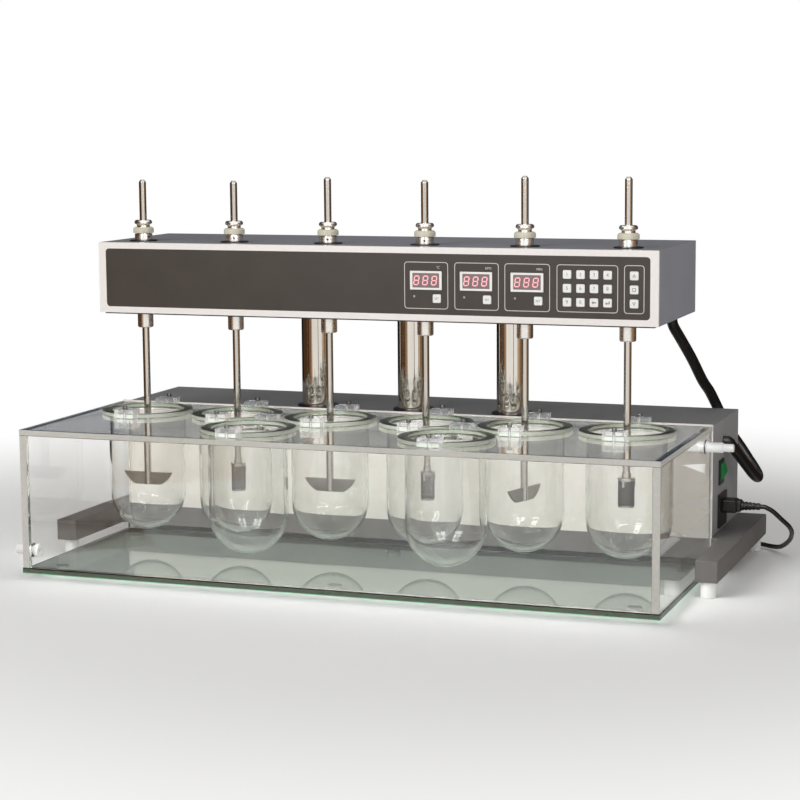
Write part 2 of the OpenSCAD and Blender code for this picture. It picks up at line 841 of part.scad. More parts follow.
// Hollow spindle with its nose, pulley, collar, cream ring and flared chuck
module spindle(i) {
    translate([spindle_x(i), spin_y, 0]) {
        color("#c9c7c3")
            difference() {
                rotate_extrude()
                    polygon([[bore_r, head_z0 - nose_l], [nose_r - nose_round, head_z0 - nose_l],
                             [nose_r, head_z0 - nose_l + nose_round], [nose_r, head_z0 - stack_gap],
                             [spindle_r, head_z0 - stack_gap], [spindle_r, pulley_z],
                             [pulley_r, pulley_z], [pulley_r, pulley_z + pulley_h],
                             [spindle_r, pulley_z + pulley_h], [spindle_r, collar_z],
                             [collar_r, collar_z], [collar_r, collar_z + collar_h],
                             [spindle_r, collar_z + collar_h], [spindle_r, chuck_z],
                             [collar_r, chuck_z + chuck_h / 3], [collar_r, chuck_z + chuck_h * 2 / 3],
                             [collar_r - chuck_h / 4, chuck_z + chuck_h], [bore_r, chuck_z + chuck_h]]);
                rotate([0, 0, -60 - 35 * i])
                    translate([spindle_r, 0, collar_z + collar_h / 2])
                        rotate([0, 90, 0])
                            cylinder(r = set_screw_r, h = collar_r);
            }
        color("#e6dfc6")
            translate([0, 0, ring_z])
                rotate_extrude()
                    polygon([[spindle_r + tight, 0], [ring_r - 1, 0], [ring_r, 1], [ring_r, ring_h - 3],
                             [ring_r - 3, ring_h], [spindle_r + tight, ring_h]]);
    }
}

// Shaft through a spindle: a paddle on the odd ones, a basket on the even ones
module shaft(i) {
    color("#bdbbb8")
        translate([spindle_x(i), spin_y, shaft_set[i - 1]])
            rotate([0, 0, paddle_turn[i - 1]])
                if (i % 2 == 1)
                    paddle_shaft();
                else
                    basket_shaft();
}

module shaft_rod(z0) {
    top = paddle_z + shaft_l;
    translate([0, 0, z0])
        cylinder(d = shaft_d, h = top - z0 - tip_chamfer);
    translate([0, 0, top - tip_chamfer])
        cylinder(r1 = shaft_d / 2, r2 = shaft_d / 2 - tip_chamfer, h = tip_chamfer);
}

module paddle_shaft() {
    drop = sqrt(paddle_r * paddle_r - paddle_w * paddle_w / 4);
    shaft_rod(paddle_z);
    translate([0, paddle_t / 2, paddle_z + paddle_h + drop])
        rotate([90, 0, 0])
            linear_extrude(paddle_t)
                intersection() {
                    circle(paddle_r);
                    translate([-paddle_w, -drop - paddle_h])
                        square([2 * paddle_w, paddle_h]);
                }
}

module basket_shaft() {
    translate([0, 0, paddle_z])
        cylinder(d = basket_d, h = basket_h);
    translate([0, 0, paddle_z + basket_h])
        cylinder(r = basket_cap_r, h = basket_cap_h);
    translate([0, 0, paddle_z + basket_h + basket_cap_h])
        cylinder(r = basket_hub_r, h = basket_hub_h);
    shaft_rod(paddle_z + basket_h);
}

// Key: a cap through the fascia, and a skirt behind it that keeps it in
module key(at) {
    color("#f1efea")
        translate([at[0], 0, head_z0 + at[1]]) {
            upright(head_y0 - proud, proud + fascia_t + key_slack + key_skirt_t)
                square(key_w, center = true);
            upright(head_y0 + fascia_t + key_slack, key_skirt_t)
                square(key_w + 2 * key_skirt, center = true);
        }
}

module power_rocker() {
    color("#1f9a4c")
        translate([cabinet_w / 2 + rocker_in, rocker_y, rocker_z])
            rotate([0, rocker_tilt, 0]) {
                translate([0, rocker_w / 2, 0])
                    rotate([90, 0, 0])
                        linear_extrude(rocker_w)
                            polygon([[-rocker_back, -rocker_h / 4], [-rocker_in, -rocker_h / 2],
                                     [rocker_peak / 3, -rocker_h / 2], [rocker_peak, 0],
                                     [rocker_peak / 3, rocker_h / 2], [-rocker_in, rocker_h / 2],
                                     [-rocker_back, rocker_h / 4]]);
                translate([0, rocker_w / 2 + rocker_pin_l, 0])
                    rotate([90, 0, 0])
                        cylinder(r = rocker_pin_r, h = rocker_w + 2 * rocker_pin_l);
            }
}

// Mains inlet with its fuse drawer, and the frame that holds the rocker
module mains_inlet() {
    face = cabinet_w / 2;
    color("#1b1b1d") {
        difference() {
            union() {
                translate([face, inlet_y - inlet_w / 2, inlet_z - inlet_h / 2])
                    cube([inlet_t, inlet_w, inlet_h]);
                translate([face - inlet_depth, inlet_y - inlet_body_w / 2, inlet_z - inlet_body_h / 2])
                    cube([inlet_depth + gap, inlet_body_w, inlet_body_h]);
            }
            translate([face + inlet_t - socket_depth, inlet_y - socket_w / 2, socket_z - socket_h / 2])
                cube([socket_depth + gap, socket_w, socket_h]);
        }
        difference() {
            union() {
                translate([face, rocker_y - frame_w / 2, rocker_z - frame_h / 2])
                    cube([frame_t, frame_w, frame_h]);
                translate([face - frame_depth, rocker_y - frame_body_w / 2, rocker_z - frame_body_h / 2])
                    cube([frame_depth + gap, frame_body_w, frame_body_h]);
            }
            translate([face - frame_depth + sheet, rocker_y - rocker_w / 2 - gap, rocker_z - rocker_h / 2 - 2 * gap])
                cube([2 * frame_depth, rocker_w + 2 * gap, rocker_h + 4 * gap]);
            translate([face + rocker_in, rocker_y + frame_body_w / 2 - gap, rocker_z])
                rotate([90, 0, 0])
                    cylinder(r = rocker_pin_r + fit, h = frame_body_w - 2 * gap);
        }
    }
}

// Moulded ends of the mains lead: the connector in the inlet and the plug beside the coil
module cord_ends() {
    face = cabinet_w / 2 + inlet_t;
    color("#151515") {
        translate([face - socket_depth + gap, inlet_y - socket_w / 2 + gap, socket_z - socket_h / 2 + gap])
            cube([socket_depth, socket_w - 2 * gap, socket_h - 2 * gap]);
        translate([face, inlet_y - connector_w / 2, socket_z - connector_h / 2])
            cube([connector_l, connector_w, connector_h]);
        translate([face + connector_l - gap, inlet_y, socket_z])
            rotate([0, 90, 0])
                cylinder(r1 = relief_r0, r2 = relief_r1, h = relief_l + gap);
        translate([coil_x - coil_tail, coil_y - coil_r0, coil_top])
            mirror([1, 0, 0])
                plug();
    }
}

// Plug with three flat pins, its cable end at the origin and its pins along +X
module plug() {
    translate([0, -plug_w / 2, -plug_h / 2])
        cube([plug_l, plug_w, plug_h]);
    for (a = [-30, 30])
        rotate([a, 0, 0])
            translate([plug_l - gap, a / 30 * plug_w / 4 - pin_t / 2, -pin_w / 2])
                cube([pin_l + gap, pin_t, pin_w]);
    translate([plug_l - gap, -pin_t / 2, -plug_h / 2 + 1])
        cube([pin_l + gap, pin_t, pin_w]);
}

module mains_cord() {
    color("#141414")
        swept(concat([cord_start], course(cord_route, 3), [cord_end]), cord_d / 2, cord_sides);
}

// The rest of the lead, coiled behind the base and held by a tie
module cord_coil() {
    inner = coil_r0 - (coil_turns - 0.5) * coil_step - cord_d / 2 - tie_gap;
    outer = coil_r0 - 0.5 * coil_step + cord_d / 2 + tie_gap;
    low = cord_lie - cord_d / 2 - tie_gap;
    high = coil_top + cord_d / 2 + tie_gap;
    color("#141414") {
        swept(coil_run, cord_d / 2, coil_sides);
        translate([coil_x - tie_w / 2, coil_y, 0])
            difference() {
                translate([0, inner - tie_t, low - tie_t])
                    cube([tie_w, outer - inner + 2 * tie_t, high - low + 2 * tie_t]);
                translate([-gap, inner, low])
                    cube([tie_w + 2 * gap, outer - inner, high - low]);
            }
    }
}

module wiring_hose() {
    color("#0f0f10")
        swept(concat([hose_start], course(hose_route, 3), [hose_end]), hose_d / 2, hose_sides);
}

module bath_heater() {
    color("#9a9a98")
        translate([unit_x, (cab_y0 + cab_y1) / 2, slab_z1]) {
            block(unit_w, unit_d, unit_h);
            translate([0, 0, unit_h - gap])
                cylinder(r = pump_r, h = pump_h + gap);
        }
}

base_slab();
rest_feet();
cabinet_shell();
cabinet_front();
lift_columns();
column_bushes();
lift_drive();
lift_rod();
tank_walls();
tank_floor();
tank_cover();
vessels();
vessel_clamps();
small_screws();
tank_fittings();
head_shell();
head_front();
head_fascia();
display_board();
spindle_bearings();
drive_motor();
drive_pulley();
drive_belt();
wiring_hose();
power_rocker();
mains_inlet();
cord_ends();
mains_cord();
cord_coil();
bath_heater();
for (i = [1:spindles]) {
    spindle(i);
    shaft(i);
}
for (i = [1:pad_keys])
    key(pad_key_at(i));
for (i = [1:3]) {
    key(set_key_at(i));
    key(lift_key_at(i));
}
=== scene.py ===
# %% [markdown]
# # A dissolution tester
# A laboratory instrument: a clear water bath holds round-bottomed vessels, and a head
# on three chromed columns turns paddles and baskets in them. The solids come from the
# CAD model. Here each piece gets its rounded edges, its small parts and its finish.

# %% Load the CAD model
from math import asin, cos, hypot, pi, radians, sin, sqrt, tan

import bmesh
import bpy
from mathutils import Matrix, Vector


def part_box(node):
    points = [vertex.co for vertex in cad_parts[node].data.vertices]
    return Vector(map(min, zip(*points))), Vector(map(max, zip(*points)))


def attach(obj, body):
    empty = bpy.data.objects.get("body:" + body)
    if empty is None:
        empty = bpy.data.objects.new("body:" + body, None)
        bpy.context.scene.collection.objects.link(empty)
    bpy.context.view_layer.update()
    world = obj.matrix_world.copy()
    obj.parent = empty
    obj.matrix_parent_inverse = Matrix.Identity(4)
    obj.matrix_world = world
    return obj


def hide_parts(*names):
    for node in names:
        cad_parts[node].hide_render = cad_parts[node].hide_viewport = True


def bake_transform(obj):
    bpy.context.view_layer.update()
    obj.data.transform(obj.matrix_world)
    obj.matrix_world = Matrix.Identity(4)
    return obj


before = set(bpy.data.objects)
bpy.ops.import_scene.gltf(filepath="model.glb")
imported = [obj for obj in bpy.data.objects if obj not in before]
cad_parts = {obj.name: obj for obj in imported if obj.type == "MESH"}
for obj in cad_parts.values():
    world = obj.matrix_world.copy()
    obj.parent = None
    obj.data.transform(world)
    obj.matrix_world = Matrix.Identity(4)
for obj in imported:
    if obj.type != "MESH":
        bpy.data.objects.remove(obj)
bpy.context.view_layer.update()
scene = bpy.context.scene
MM = 0.001

# %% [markdown]
# ## Camera, light and floor
# The photograph was taken with a long lens, a little above the head and to the right,
# so the camera stands three metres off. Two soft lamps and a pale world give plain
# studio light. The world is white for what the eye sees straight, mirrored or through
# glass, and softer for the light itself.


# %% An object in the scene
def linked(name, data):
    obj = bpy.data.objects.new(name, data)
    scene.collection.objects.link(obj)
    return obj


# %% Camera at the photograph's angle
CAMERA_AT = Vector((1018.45, -2758.20, 628.68)) * MM
YAW, PITCH, ROLL = 0.34912, -0.1349, -0.0079
# The lens is this many pixels long for a picture 800 pixels wide
FOCAL_SHARE = 2134.61 / 800

right = Vector((cos(YAW), sin(YAW), 0))
ahead = Vector((-sin(YAW) * cos(PITCH), cos(YAW) * cos(PITCH), sin(PITCH)))
above = right.cross(ahead)
across = cos(ROLL) * right + sin(ROLL) * above
upward = cos(ROLL) * above - sin(ROLL) * right
lens = bpy.data.cameras.new("camera")
lens.sensor_fit, lens.sensor_width = "HORIZONTAL", 36
lens.lens = FOCAL_SHARE * lens.sensor_width
camera = linked("camera", lens)
camera.matrix_world = Matrix((across, upward, -ahead)).transposed().to_4x4()
camera.location = CAMERA_AT
scene.camera = camera
scene.view_settings.view_transform = "Standard"
# Many clear walls stand one behind another, so light may pass more of them than usual
scene.cycles.max_bounces = scene.cycles.transmission_bounces = 32
scene.cycles.transparent_max_bounces = 64
print("camera lens", round(lens.lens, 1), "mm")


# %% A node with its settings and links, a colour, a bare material and a bare mesh
def put(tree, kind, inputs=None, **settings):
    node = tree.nodes.new(kind)
    for name, value in settings.items():
        setattr(node, name, value)
    # A node given as an input stands for its first output
    for key, value in (inputs or {}).items():
        if isinstance(value, bpy.types.Node):
            value = value.outputs[0]
        if isinstance(value, bpy.types.NodeSocket):
            tree.links.new(value, node.inputs[key])
        else:
            node.inputs[key].default_value = value
    return node


def linear(hexcode):
    parts = [int(hexcode[i:i + 2], 16) / 255 for i in (1, 3, 5)]
    return tuple(c / 12.92 if c <= 0.04045 else ((c + 0.055) / 1.055) ** 2.4 for c in parts) + (1.0,)


def blank(name, empty=False):
    material = bpy.data.materials.new(name)
    material.use_nodes = True
    if empty:
        material.node_tree.nodes.clear()
    return material, material.node_tree


def meshed(name, points, faces=()):
    mesh = bpy.data.meshes.new(name)
    mesh.from_pydata(points, [], faces)
    return mesh


# %% World: white to look at, softer as light
world = bpy.data.worlds.new("studio")
scene.world = world
world.use_nodes = True
tree = world.node_tree
tree.nodes.clear()
path = put(tree, "ShaderNodeLightPath").outputs
seen = put(tree, "ShaderNodeMath", {0: path["Is Camera Ray"], 1: path["Is Glossy Ray"]}, operation="MAXIMUM")
seen = put(tree, "ShaderNodeMath", {0: seen, 1: path["Is Transmission Ray"]}, operation="MAXIMUM")
soft = put(tree, "ShaderNodeBackground", {"Color": linear("#fbfaf8"), "Strength": 0.46})
white = put(tree, "ShaderNodeBackground", {"Color": (1, 1, 1, 1), "Strength": 1.0})
both = put(tree, "ShaderNodeMixShader", {0: seen, 1: soft, 2: white})
put(tree, "ShaderNodeOutputWorld", {"Surface": both})


# %% Two soft lamps
def lamp(name, at, target, size, power):
    light = bpy.data.lights.new(name, "AREA")
    light.shape, light.size, light.size_y, light.energy = "RECTANGLE", *size, power
    obj = linked(name, light)
    obj.location = at
    obj.rotation_euler = (Vector(target) - Vector(at)).to_track_quat("-Z", "Y").to_euler()
    obj.visible_glossy = False


lamp("key_lamp", (-1.5, -2.7, 2.0), (0, -0.05, 0.2), (1.8, 1.4), 46)
lamp("fill_lamp", (2.4, -1.9, 1.5), (0.2, 0, 0.2), (1.6, 1.6), 14)


# %% Pale floor that fades into the white background
FADE_FROM, FADE_TO, REACH, DROP = 0.6, 1.5, 30.0, -0.0004


def floor_material():
    material, tree = blank("pale_studio_floor", True)
    place = put(tree, "ShaderNodeTexCoord").outputs["Object"]
    away = put(tree, "ShaderNodeVectorMath", {0: place}, operation="LENGTH").outputs["Value"]
    fade = put(tree, "ShaderNodeMapRange", {"Value": away, "From Min": FADE_FROM, "From Max": FADE_TO},
               interpolation_type="SMOOTHSTEP")
    matt = put(tree, "ShaderNodeBsdfDiffuse", {"Color": linear("#f7f7f6")})
    glow = put(tree, "ShaderNodeEmission", {"Color": (1, 1, 1, 1), "Strength": 1.0})
    shown = put(tree, "ShaderNodeMixShader", {0: fade, 1: matt, 2: glow})
    put(tree, "ShaderNodeOutputMaterial", {"Surface": shown})
    return material


corners = [(x, y, DROP) for x, y in ((-REACH, -REACH), (REACH, -REACH), (REACH, REACH), (-REACH, REACH))]
floor_mesh = meshed("studio_floor", corners, [(0, 1, 2, 3)])
floor_mesh.materials.append(floor_material())
linked("studio_floor", floor_mesh)


# %% Dark and bright cards behind and beside the object glow in their own colours, seen only in mirrors and through glass: painted reflections
# Each runs between two angles from the line of sight, at one distance from the object
CARD_AWAY, CARD_TOP, CARD_STEP, SIGHT_TOP = 1.15, 1.7, 6, 0.25
CARDS = [(-14, 14, "#4c5057"), (14, 54, "#15110f"), (54, 112, "#4f3826"), (112, 124, "#8d6849"),
         (124, 136, "#c3a988"), (-14, -32, "#15110f"), (-32, -50, "#6d7180"), (-50, -98, "#4a382c"),
         (-98, -126, "#8d6f52"), (-126, -140, "#cbb698")]


def arc(start, end, away, height):
    flat = Vector((ahead.x, ahead.y, 0)).normalized() * away
    count = max(2, round(abs(end - start) / CARD_STEP))
    turns = [radians(start + (end - start) * k / count) for k in range(count + 1)]
    return [Matrix.Rotation(turn, 3, "Z") @ flat + Vector((0, 0, height)) for turn in turns]


def card(name, low, high, tint, strength=1.0, through=True):
    count = len(low) - 1
    mesh = meshed(name, low + high, [(k, k + 1, count + 2 + k, count + 1 + k) for k in range(count)])
    material, tree = blank(name + "_felt", True)
    glow = put(tree, "ShaderNodeEmission", {"Color": linear(tint), "Strength": strength})
    if not through:
        mirrored = put(tree, "ShaderNodeLightPath").outputs["Glossy Depth"]
        gone = put(tree, "ShaderNodeBsdfTransparent", {"Color": (1, 1, 1, 1)})
        glow = put(tree, "ShaderNodeMixShader", {0: mirrored, 1: gone, 2: glow})
    put(tree, "ShaderNodeOutputMaterial", {"Surface": glow})
    mesh.materials.append(material)
    obj = linked(name, mesh)
    obj.visible_camera = obj.visible_diffuse = obj.visible_shadow = False


def standing(name, start, end, tint, low=0.0, strength=1.0):
    # Cards also show through clear walls and give glass its dark edges. Low down, where a line of sight
    # through the bath runs straight to the bench, they show only to light that was mirrored on its way
    split = max(low, SIGHT_TOP)
    for part, bottom, top in (("_low", low, split), ("", split, CARD_TOP)):
        if top > bottom:
            card(name + part, arc(start, end, CARD_AWAY, bottom), arc(start, end, CARD_AWAY, top),
                 tint, strength, not part)


for k, strip in enumerate(CARDS):
    standing("card_%d" % (k + 1), *strip)
# A cool band low in the background is what the flat cover and the flanges mirror
BAND_AWAY, BAND_LOW, BAND_TOP = CARD_AWAY - 0.01, 0.30, 0.45
card("cool_band", arc(-50, 54, BAND_AWAY, BAND_LOW), arc(-50, 54, BAND_AWAY, BAND_TOP), "#39434f")
# Bright window strips in front give upright glints on glass and steel
WINDOWS = [(132, 143), (147, 158), (-160, -149), (-175, -164)]
WINDOW_LOW, WINDOW_GLOW = 0.55, 9.0
for k, (start, end) in enumerate(WINDOWS):
    standing("window_%d" % (k + 1), start, end, "#ffffff", WINDOW_LOW, WINDOW_GLOW)
# Dark mats before the side cards glow in the side cards' colours and show only after a mirror bounce: painted
# reflections, since upright metal low down mirrors the bench, not the cards
MATS = [(56, 112, "#4f3826"), (112, 124, "#8d6849"), (-56, -98, "#4a382c"), (-98, -124, "#8d6f52")]
MAT_NEAR, MAT_Z = 0.62, 0.0006
for k, (start, end, tint) in enumerate(MATS):
    card("mat_%d" % (k + 1), arc(start, end, MAT_NEAR, MAT_Z), arc(start, end, CARD_AWAY, MAT_Z), tint,
         through=False)
print(len(CARDS), "cards,", len(WINDOWS), "windows and", len(MATS), "mats")

# %% [markdown]
# ## The mains lead and the wiring hose
# Cords come first, because their length and lie are measured. The lead leaves the
# connector, bends down to the bench and runs behind the base into a tied coil. It is a
# single curve with a round bevel, through the same points as the CAD tube.

# %% The routes, in millimetres
CABINET_SIDE = 441.0
LEAD_D, HOSE_D = 6.5, 15.0
LIE = 5.4
# The connector sits in a socket on the cabinet's side, and the lead leaves its relief
FACE, SOCKET_Y, SOCKET_Z, GRIP_L, RELIEF_L = CABINET_SIDE + 3, 123.0, 85.0, 26, 25
LEAD_START = Vector((FACE + GRIP_L + RELIEF_L, SOCKET_Y, SOCKET_Z))
COIL_X, COIL_Y, COIL_R, COIL_TURNS, COIL_STEP, COIL_TAIL = 330, 319, 50, 3, 7.2, 51
COIL_TOP = LIE + COIL_STEP
LEAD_END = Vector((COIL_X + LEAD_D, COIL_Y - COIL_R, LIE))
LEAD_ROUTE = [LEAD_START + Vector((LEAD_D, 0, 0)), (512, 126, 79), (523, 133, 67), (531, 147, 55), (532, 165, 43),
              (524, 195, 26), (507, 225, 10), (490, 245, LIE), (470, 258, LIE), (440, 266, LIE),
              (400, COIL_Y - COIL_R, LIE), LEAD_END + Vector((LEAD_D, 0, 0))]
HEAD_LOW = 351.0
HOSE_START, HOSE_END = Vector((372, 110, HEAD_LOW)), Vector((CABINET_SIDE, 134, 172))
HOSE_ROUTE = [HOSE_START - Vector((0, 0, HOSE_D / 2)), (373, 116, 332), (378, 140, 312), (386, 178, 280),
              (394, 212, 246), (400, 233, 228), (406, 245.5, 210), (413, 249, 194), (420, 250, 180),
              (428, 250, 167), (437, 249.8, 155), (446, 248.5, 143), (455, 245, 131), (464.5, 238.5, 120),
              (472.5, 225, 112.5), (475.5, 206, 111.5), (472.8, 188, 119), (468.3, 172, 131),
              (461.5, 156, 146), (454.3, 143.5, 160), HOSE_END + Vector((HOSE_D / 2, 0, 0))]


def course(points, steps):
    p = [Vector(q) for q in points]
    line = []
    for i in range(len(p) - 1):
        a, b, c, d = p[max(i - 1, 0)], p[i], p[i + 1], p[min(i + 2, len(p) - 1)]
        for k in range(steps):
            t = k / steps
            line.append(0.5 * (2 * b + (c - a) * t + (2 * a - 5 * b + 4 * c - d) * t * t
                               + (3 * b - a - 3 * c + d) * t ** 3))
    return line + [p[-1]]


def coil_point(t):
    radius = COIL_R - COIL_STEP * (COIL_TURNS - abs(t - COIL_TURNS))
    angle = -pi / 2 - 2 * pi * t
    climb = max(0, min(1, 2 * (t - COIL_TURNS) + 0.5))
    return Vector((COIL_X + radius * cos(angle), COIL_Y + radius * sin(angle), LIE + COIL_STEP * climb))


def length_of(line):
    return sum((b - a).length for a, b in zip(line, line[1:])) * MM


PER_TURN, TAIL_STEPS = 24, 3
lead_line = [LEAD_START] + course(LEAD_ROUTE, 3)
lead_line += [coil_point(k / PER_TURN) for k in range(2 * COIL_TURNS * PER_TURN + 1)]
for k in range(1, TAIL_STEPS + 1):
    lead_line.append(Vector((COIL_X - k * COIL_TAIL / TAIL_STEPS, COIL_Y - COIL_R, COIL_TOP)))

# %% [markdown]
# ## Finishes
# Every material starts from what the real one is. One function adds the pattern that
# most coated and moulded surfaces share: a grain that tints, roughens and bumps the
# surface at a real size in millimetres. Glass, metal and lit parts follow on their own.


# %% A grained surface
CLOUD = 60


def surface(name, tint, other, rough, grain, bump=0.0, metal=0.0, spread=0.08, coat=0.0,
            stretch=(1, 1, 1), gloss=0.5):
    material, tree = blank(name)
    shader = tree.nodes["Principled BSDF"]
    place = put(tree, "ShaderNodeTexCoord").outputs["Object"]
    place = put(tree, "ShaderNodeMapping", {"Vector": place, "Scale": stretch})
    grit = put(tree, "ShaderNodeTexNoise", {"Vector": place, "Scale": 1000 / grain, "Detail": 3.0})
    cloud = put(tree, "ShaderNodeTexNoise", {"Vector": place, "Scale": 1000 / (grain * CLOUD), "Detail": 2.0})
    blend = put(tree, "ShaderNodeMath", {0: grit, 1: cloud}, operation="ADD")
    share = put(tree, "ShaderNodeMapRange", {"Value": blend, "From Min": 0.7, "From Max": 1.3})
    mixed = put(tree, "ShaderNodeMix", {0: share, 6: linear(tint), 7: linear(other)}, data_type="RGBA")
    tree.links.new(mixed.outputs[2], shader.inputs["Base Color"])
    sheen = put(tree, "ShaderNodeMapRange", {"Value": grit, "To Min": rough - spread,
                                             "To Max": rough + spread})
    tree.links.new(sheen.outputs[0], shader.inputs["Roughness"])
    if bump:
        dents = put(tree, "ShaderNodeBump", {"Height": grit, "Distance": bump * MM, "Strength": 1.0})
        tree.links.new(dents.outputs[0], shader.inputs["Normal"])
    for socket, value in (("Metallic", metal), ("Specular IOR Level", gloss), ("Coat Weight", coat)):
        shader.inputs[socket].default_value = value
    return material


# %% Clear sheet and glass: refracting, and open to lamps so that what is inside stays lit
def clear(name, tint, ior, dust, absorb, density, frost=(0.0, 0.06), milk=0.0):
    material, tree = blank(name)
    shader, out = tree.nodes["Principled BSDF"], tree.nodes["Material Output"]
    for socket, value in (("Base Color", linear(tint)), ("Transmission Weight", 1.0 - milk), ("IOR", ior)):
        shader.inputs[socket].default_value = value
    place = put(tree, "ShaderNodeTexCoord").outputs["Object"]
    haze = put(tree, "ShaderNodeTexNoise", {"Vector": place, "Scale": 1000 / dust, "Detail": 4.0})
    film = put(tree, "ShaderNodeMapRange", {"Value": haze, "From Min": 0.45, "From Max": 0.8,
                                            "To Min": frost[0], "To Max": frost[1]})
    tree.links.new(film.outputs[0], shader.inputs["Roughness"])
    open_way = put(tree, "ShaderNodeBsdfTransparent", {"Color": linear(tint)})
    lamplight = put(tree, "ShaderNodeLightPath").outputs["Is Shadow Ray"]
    mix = put(tree, "ShaderNodeMixShader", {0: lamplight, 1: shader, 2: open_way})
    tree.links.new(mix.outputs[0], out.inputs["Surface"])
    depth = put(tree, "ShaderNodeVolumeAbsorption", {"Color": linear(absorb), "Density": density})
    tree.links.new(depth.outputs[0], out.inputs["Volume"])
    return material


# %% A lit surface: a moulded lens that glows evenly
def lit(name, tint, other, glow, strength, grain):
    material = surface(name, tint, other, 0.35, grain)
    shader = material.node_tree.nodes["Principled BSDF"]
    shader.inputs["Emission Color"].default_value = linear(glow)
    shader.inputs["Emission Strength"].default_value = strength
    return material


# %% The materials of this object
# Powder coat is baked from grains of about 0.6 mm, drawn at 1.4 mm so that they show.
cabinet_coat = surface("powder_coated_steel_grey", "#8f8f90", "#868687", 0.5, 1.4, 0.03)
head_coat = surface("powder_coated_steel_blue_grey", "#8c8d94", "#84858c", 0.48, 1.4, 0.03)
slab_coat = surface("powder_coated_steel_charcoal", "#6d6a68", "#635f5d", 0.55, 1.4, 0.04, gloss=0.15)
panel_enamel = surface("stoved_enamel_ivory", "#d9d5cd", "#d0cbc3", 0.35, 6.0, 0.01)
front_enamel = surface("stoved_enamel_off_white", "#efe9e5", "#e9e3df", 0.35, 6.0, 0.01)
# Chrome plate is smooth, with faint streaks from polishing round the tube.
chrome = surface("polished_chrome_plate", "#e2dcd3", "#d6cec3", 0.06, 6.0, 0.0, 1.0, 0.03, stretch=(1, 1, 0.05))
# Stainless bar is ground lengthways and polished: fine streaks along the bar, drawn at 0.8 mm to show.
steel = surface("ground_stainless_steel", "#d3cfc8", "#c4bfb7", 0.1, 0.8, 0.0, 1.0, 0.04, stretch=(1, 1, 0.02))
# Turned parts keep the tool's rings round them, which blur the mirror.
turned_steel = surface("turned_stainless_steel", "#e9e6e1", "#dedad4", 0.26, 0.8, 0.0, 1.0, 0.05,
                       stretch=(0.02, 0.02, 1))
screw_steel = surface("polished_screw_steel", "#9d9a97", "#878583", 0.14, 0.8, 0.0, 1.0, 0.05)
# Wire cloth is painted dark brown: painted shade for the shade inside the fine weave, with short glints.
wire_steel_painted_shade = surface("woven_stainless_wire", "#675d52", "#52493f", 0.3, 0.6, 0.0, 1.0)
ivory_nylon = surface("turned_ivory_nylon", "#d9d4c1", "#cfc9b4", 0.45, 1.0, 0.01, stretch=(0.05, 0.05, 1))
black_acetal = surface("turned_black_acetal", "#232224", "#1b1a1c", 0.4, 1.0, 0.01)
# Moulded polymers take the mould's fine matt grain.
white_polymer = surface("moulded_white_polypropylene", "#f2f2f1", "#eaeae9", 0.38, 2.0, 0.01)
foot_polymer = surface("moulded_white_rubber", "#f0efed", "#e6e5e2", 0.55, 1.6, 0.02)
# The film is printed from behind and left matt in front; inks lie on it a little rough.
fascia_film = surface("printed_polyester_film", "#4a433e", "#443e39", 0.42, 0.8, 0.012, gloss=0.2)
white_ink = surface("screen_printed_white_ink", "#d6d2cd", "#cbc7c2", 0.5, 0.8)
grey_ink = surface("pad_printed_grey_ink", "#77757a", "#6d6b70", 0.5, 0.8)
key_polymer = surface("moulded_white_abs", "#efeeea", "#e7e6e1", 0.42, 1.2, 0.01)
bezel_polymer = surface("moulded_bezel_abs", "#f3f0ec", "#ebe8e3", 0.4, 1.2, 0.01)
# Display lenses are smooth and dull red, with digits that glow pink through them.
red_lens = surface("smoked_red_acrylic_lens", "#877273", "#796566", 0.12, 4.0, 0.0, coat=0.5)
lit_segment = lit("lit_red_segment", "#f7b9bd", "#f1b0b5", "#ff8f97", 0.55, 0.8)
lamp_lens = surface("clear_lamp_lens", "#b9b2ac", "#a49d97", 0.25, 0.8)
rocker_lens = lit("lit_green_polycarbonate", "#0d5c31", "#0b522b", "#12a44e", 0.14, 3.0)
# Black parts: moulded ones with a grain, cord and hose extruded with a soft sheen.
black_polymer = surface("moulded_black_polyamide", "#1c1b1c", "#151415", 0.4, 1.2, 0.015)
black_vinyl = surface("extruded_black_vinyl", "#131212", "#0c0c0c", 0.38, 1.5, 0.01)
# Plated pins and turned aluminium: pale metal, blurred by plating and tool marks.
pin_metal = surface("nickel_plated_brass", "#d4cdbb", "#c5bda8", 0.22, 1.0, 0.0, 1.0)
alloy = surface("turned_aluminium", "#c4c4c6", "#b4b4b6", 0.3, 0.8, 0.002, 1.0, stretch=(0.02, 0.02, 1))
machine_coat = surface("sprayed_grey_enamel", "#5f6063", "#56575a", 0.45, 2.0, 0.02)
# Clear sheet and glass: tint comes from depth, so that edges are greener than faces.
acrylic = clear("cast_clear_acrylic", "#ffffff", 1.49, 40.0, "#c6d3d4", 1.5)
float_glass = clear("float_glass", "#ffffff", 1.52, 60.0, "#9fb0a4", 85.0)
blown_glass = clear("blown_borosilicate_glass", "#ffffff", 1.47, 30.0, "#a9b3a0", 28.0)
# Clamps are milled from clear sheet and left frosted by the cutter.
milled_acrylic = clear("milled_clear_acrylic", "#fbfcfc", 1.49, 3.0, "#c6d3d4", 1.5, (0.1, 0.3), 0.1)
# Saw-cut and ground edges scatter the light that runs inside the sheet, so they show as plain strips.
sawn_edge = surface("sawn_acrylic_edge", "#cbc8c2", "#b9b6af", 0.4, 3.0, 0.02)
ground_edge = surface("ground_glass_edge", "#4c554a", "#59624f", 0.3, 4.0, 0.01)
ground_rim = surface("ground_borosilicate_rim", "#b9beb0", "#a7ac9d", 0.35, 3.0, 0.01)
# The floor glass's lower arris is the glass edge's own green, lightened as a painted highlight
arris_painted_highlight = surface("polished_glass_arris", "#8fdcb0", "#7bcb9d", 0.2, 8.0)
# Paddles are cut from sheet and bead blasted: a soft grey with no mirror.
blasted_steel = surface("bead_blasted_stainless_steel", "#9d978f", "#5f5952", 0.32, 0.7, 0.01, 0.8)
print(len(bpy.data.materials), "materials")

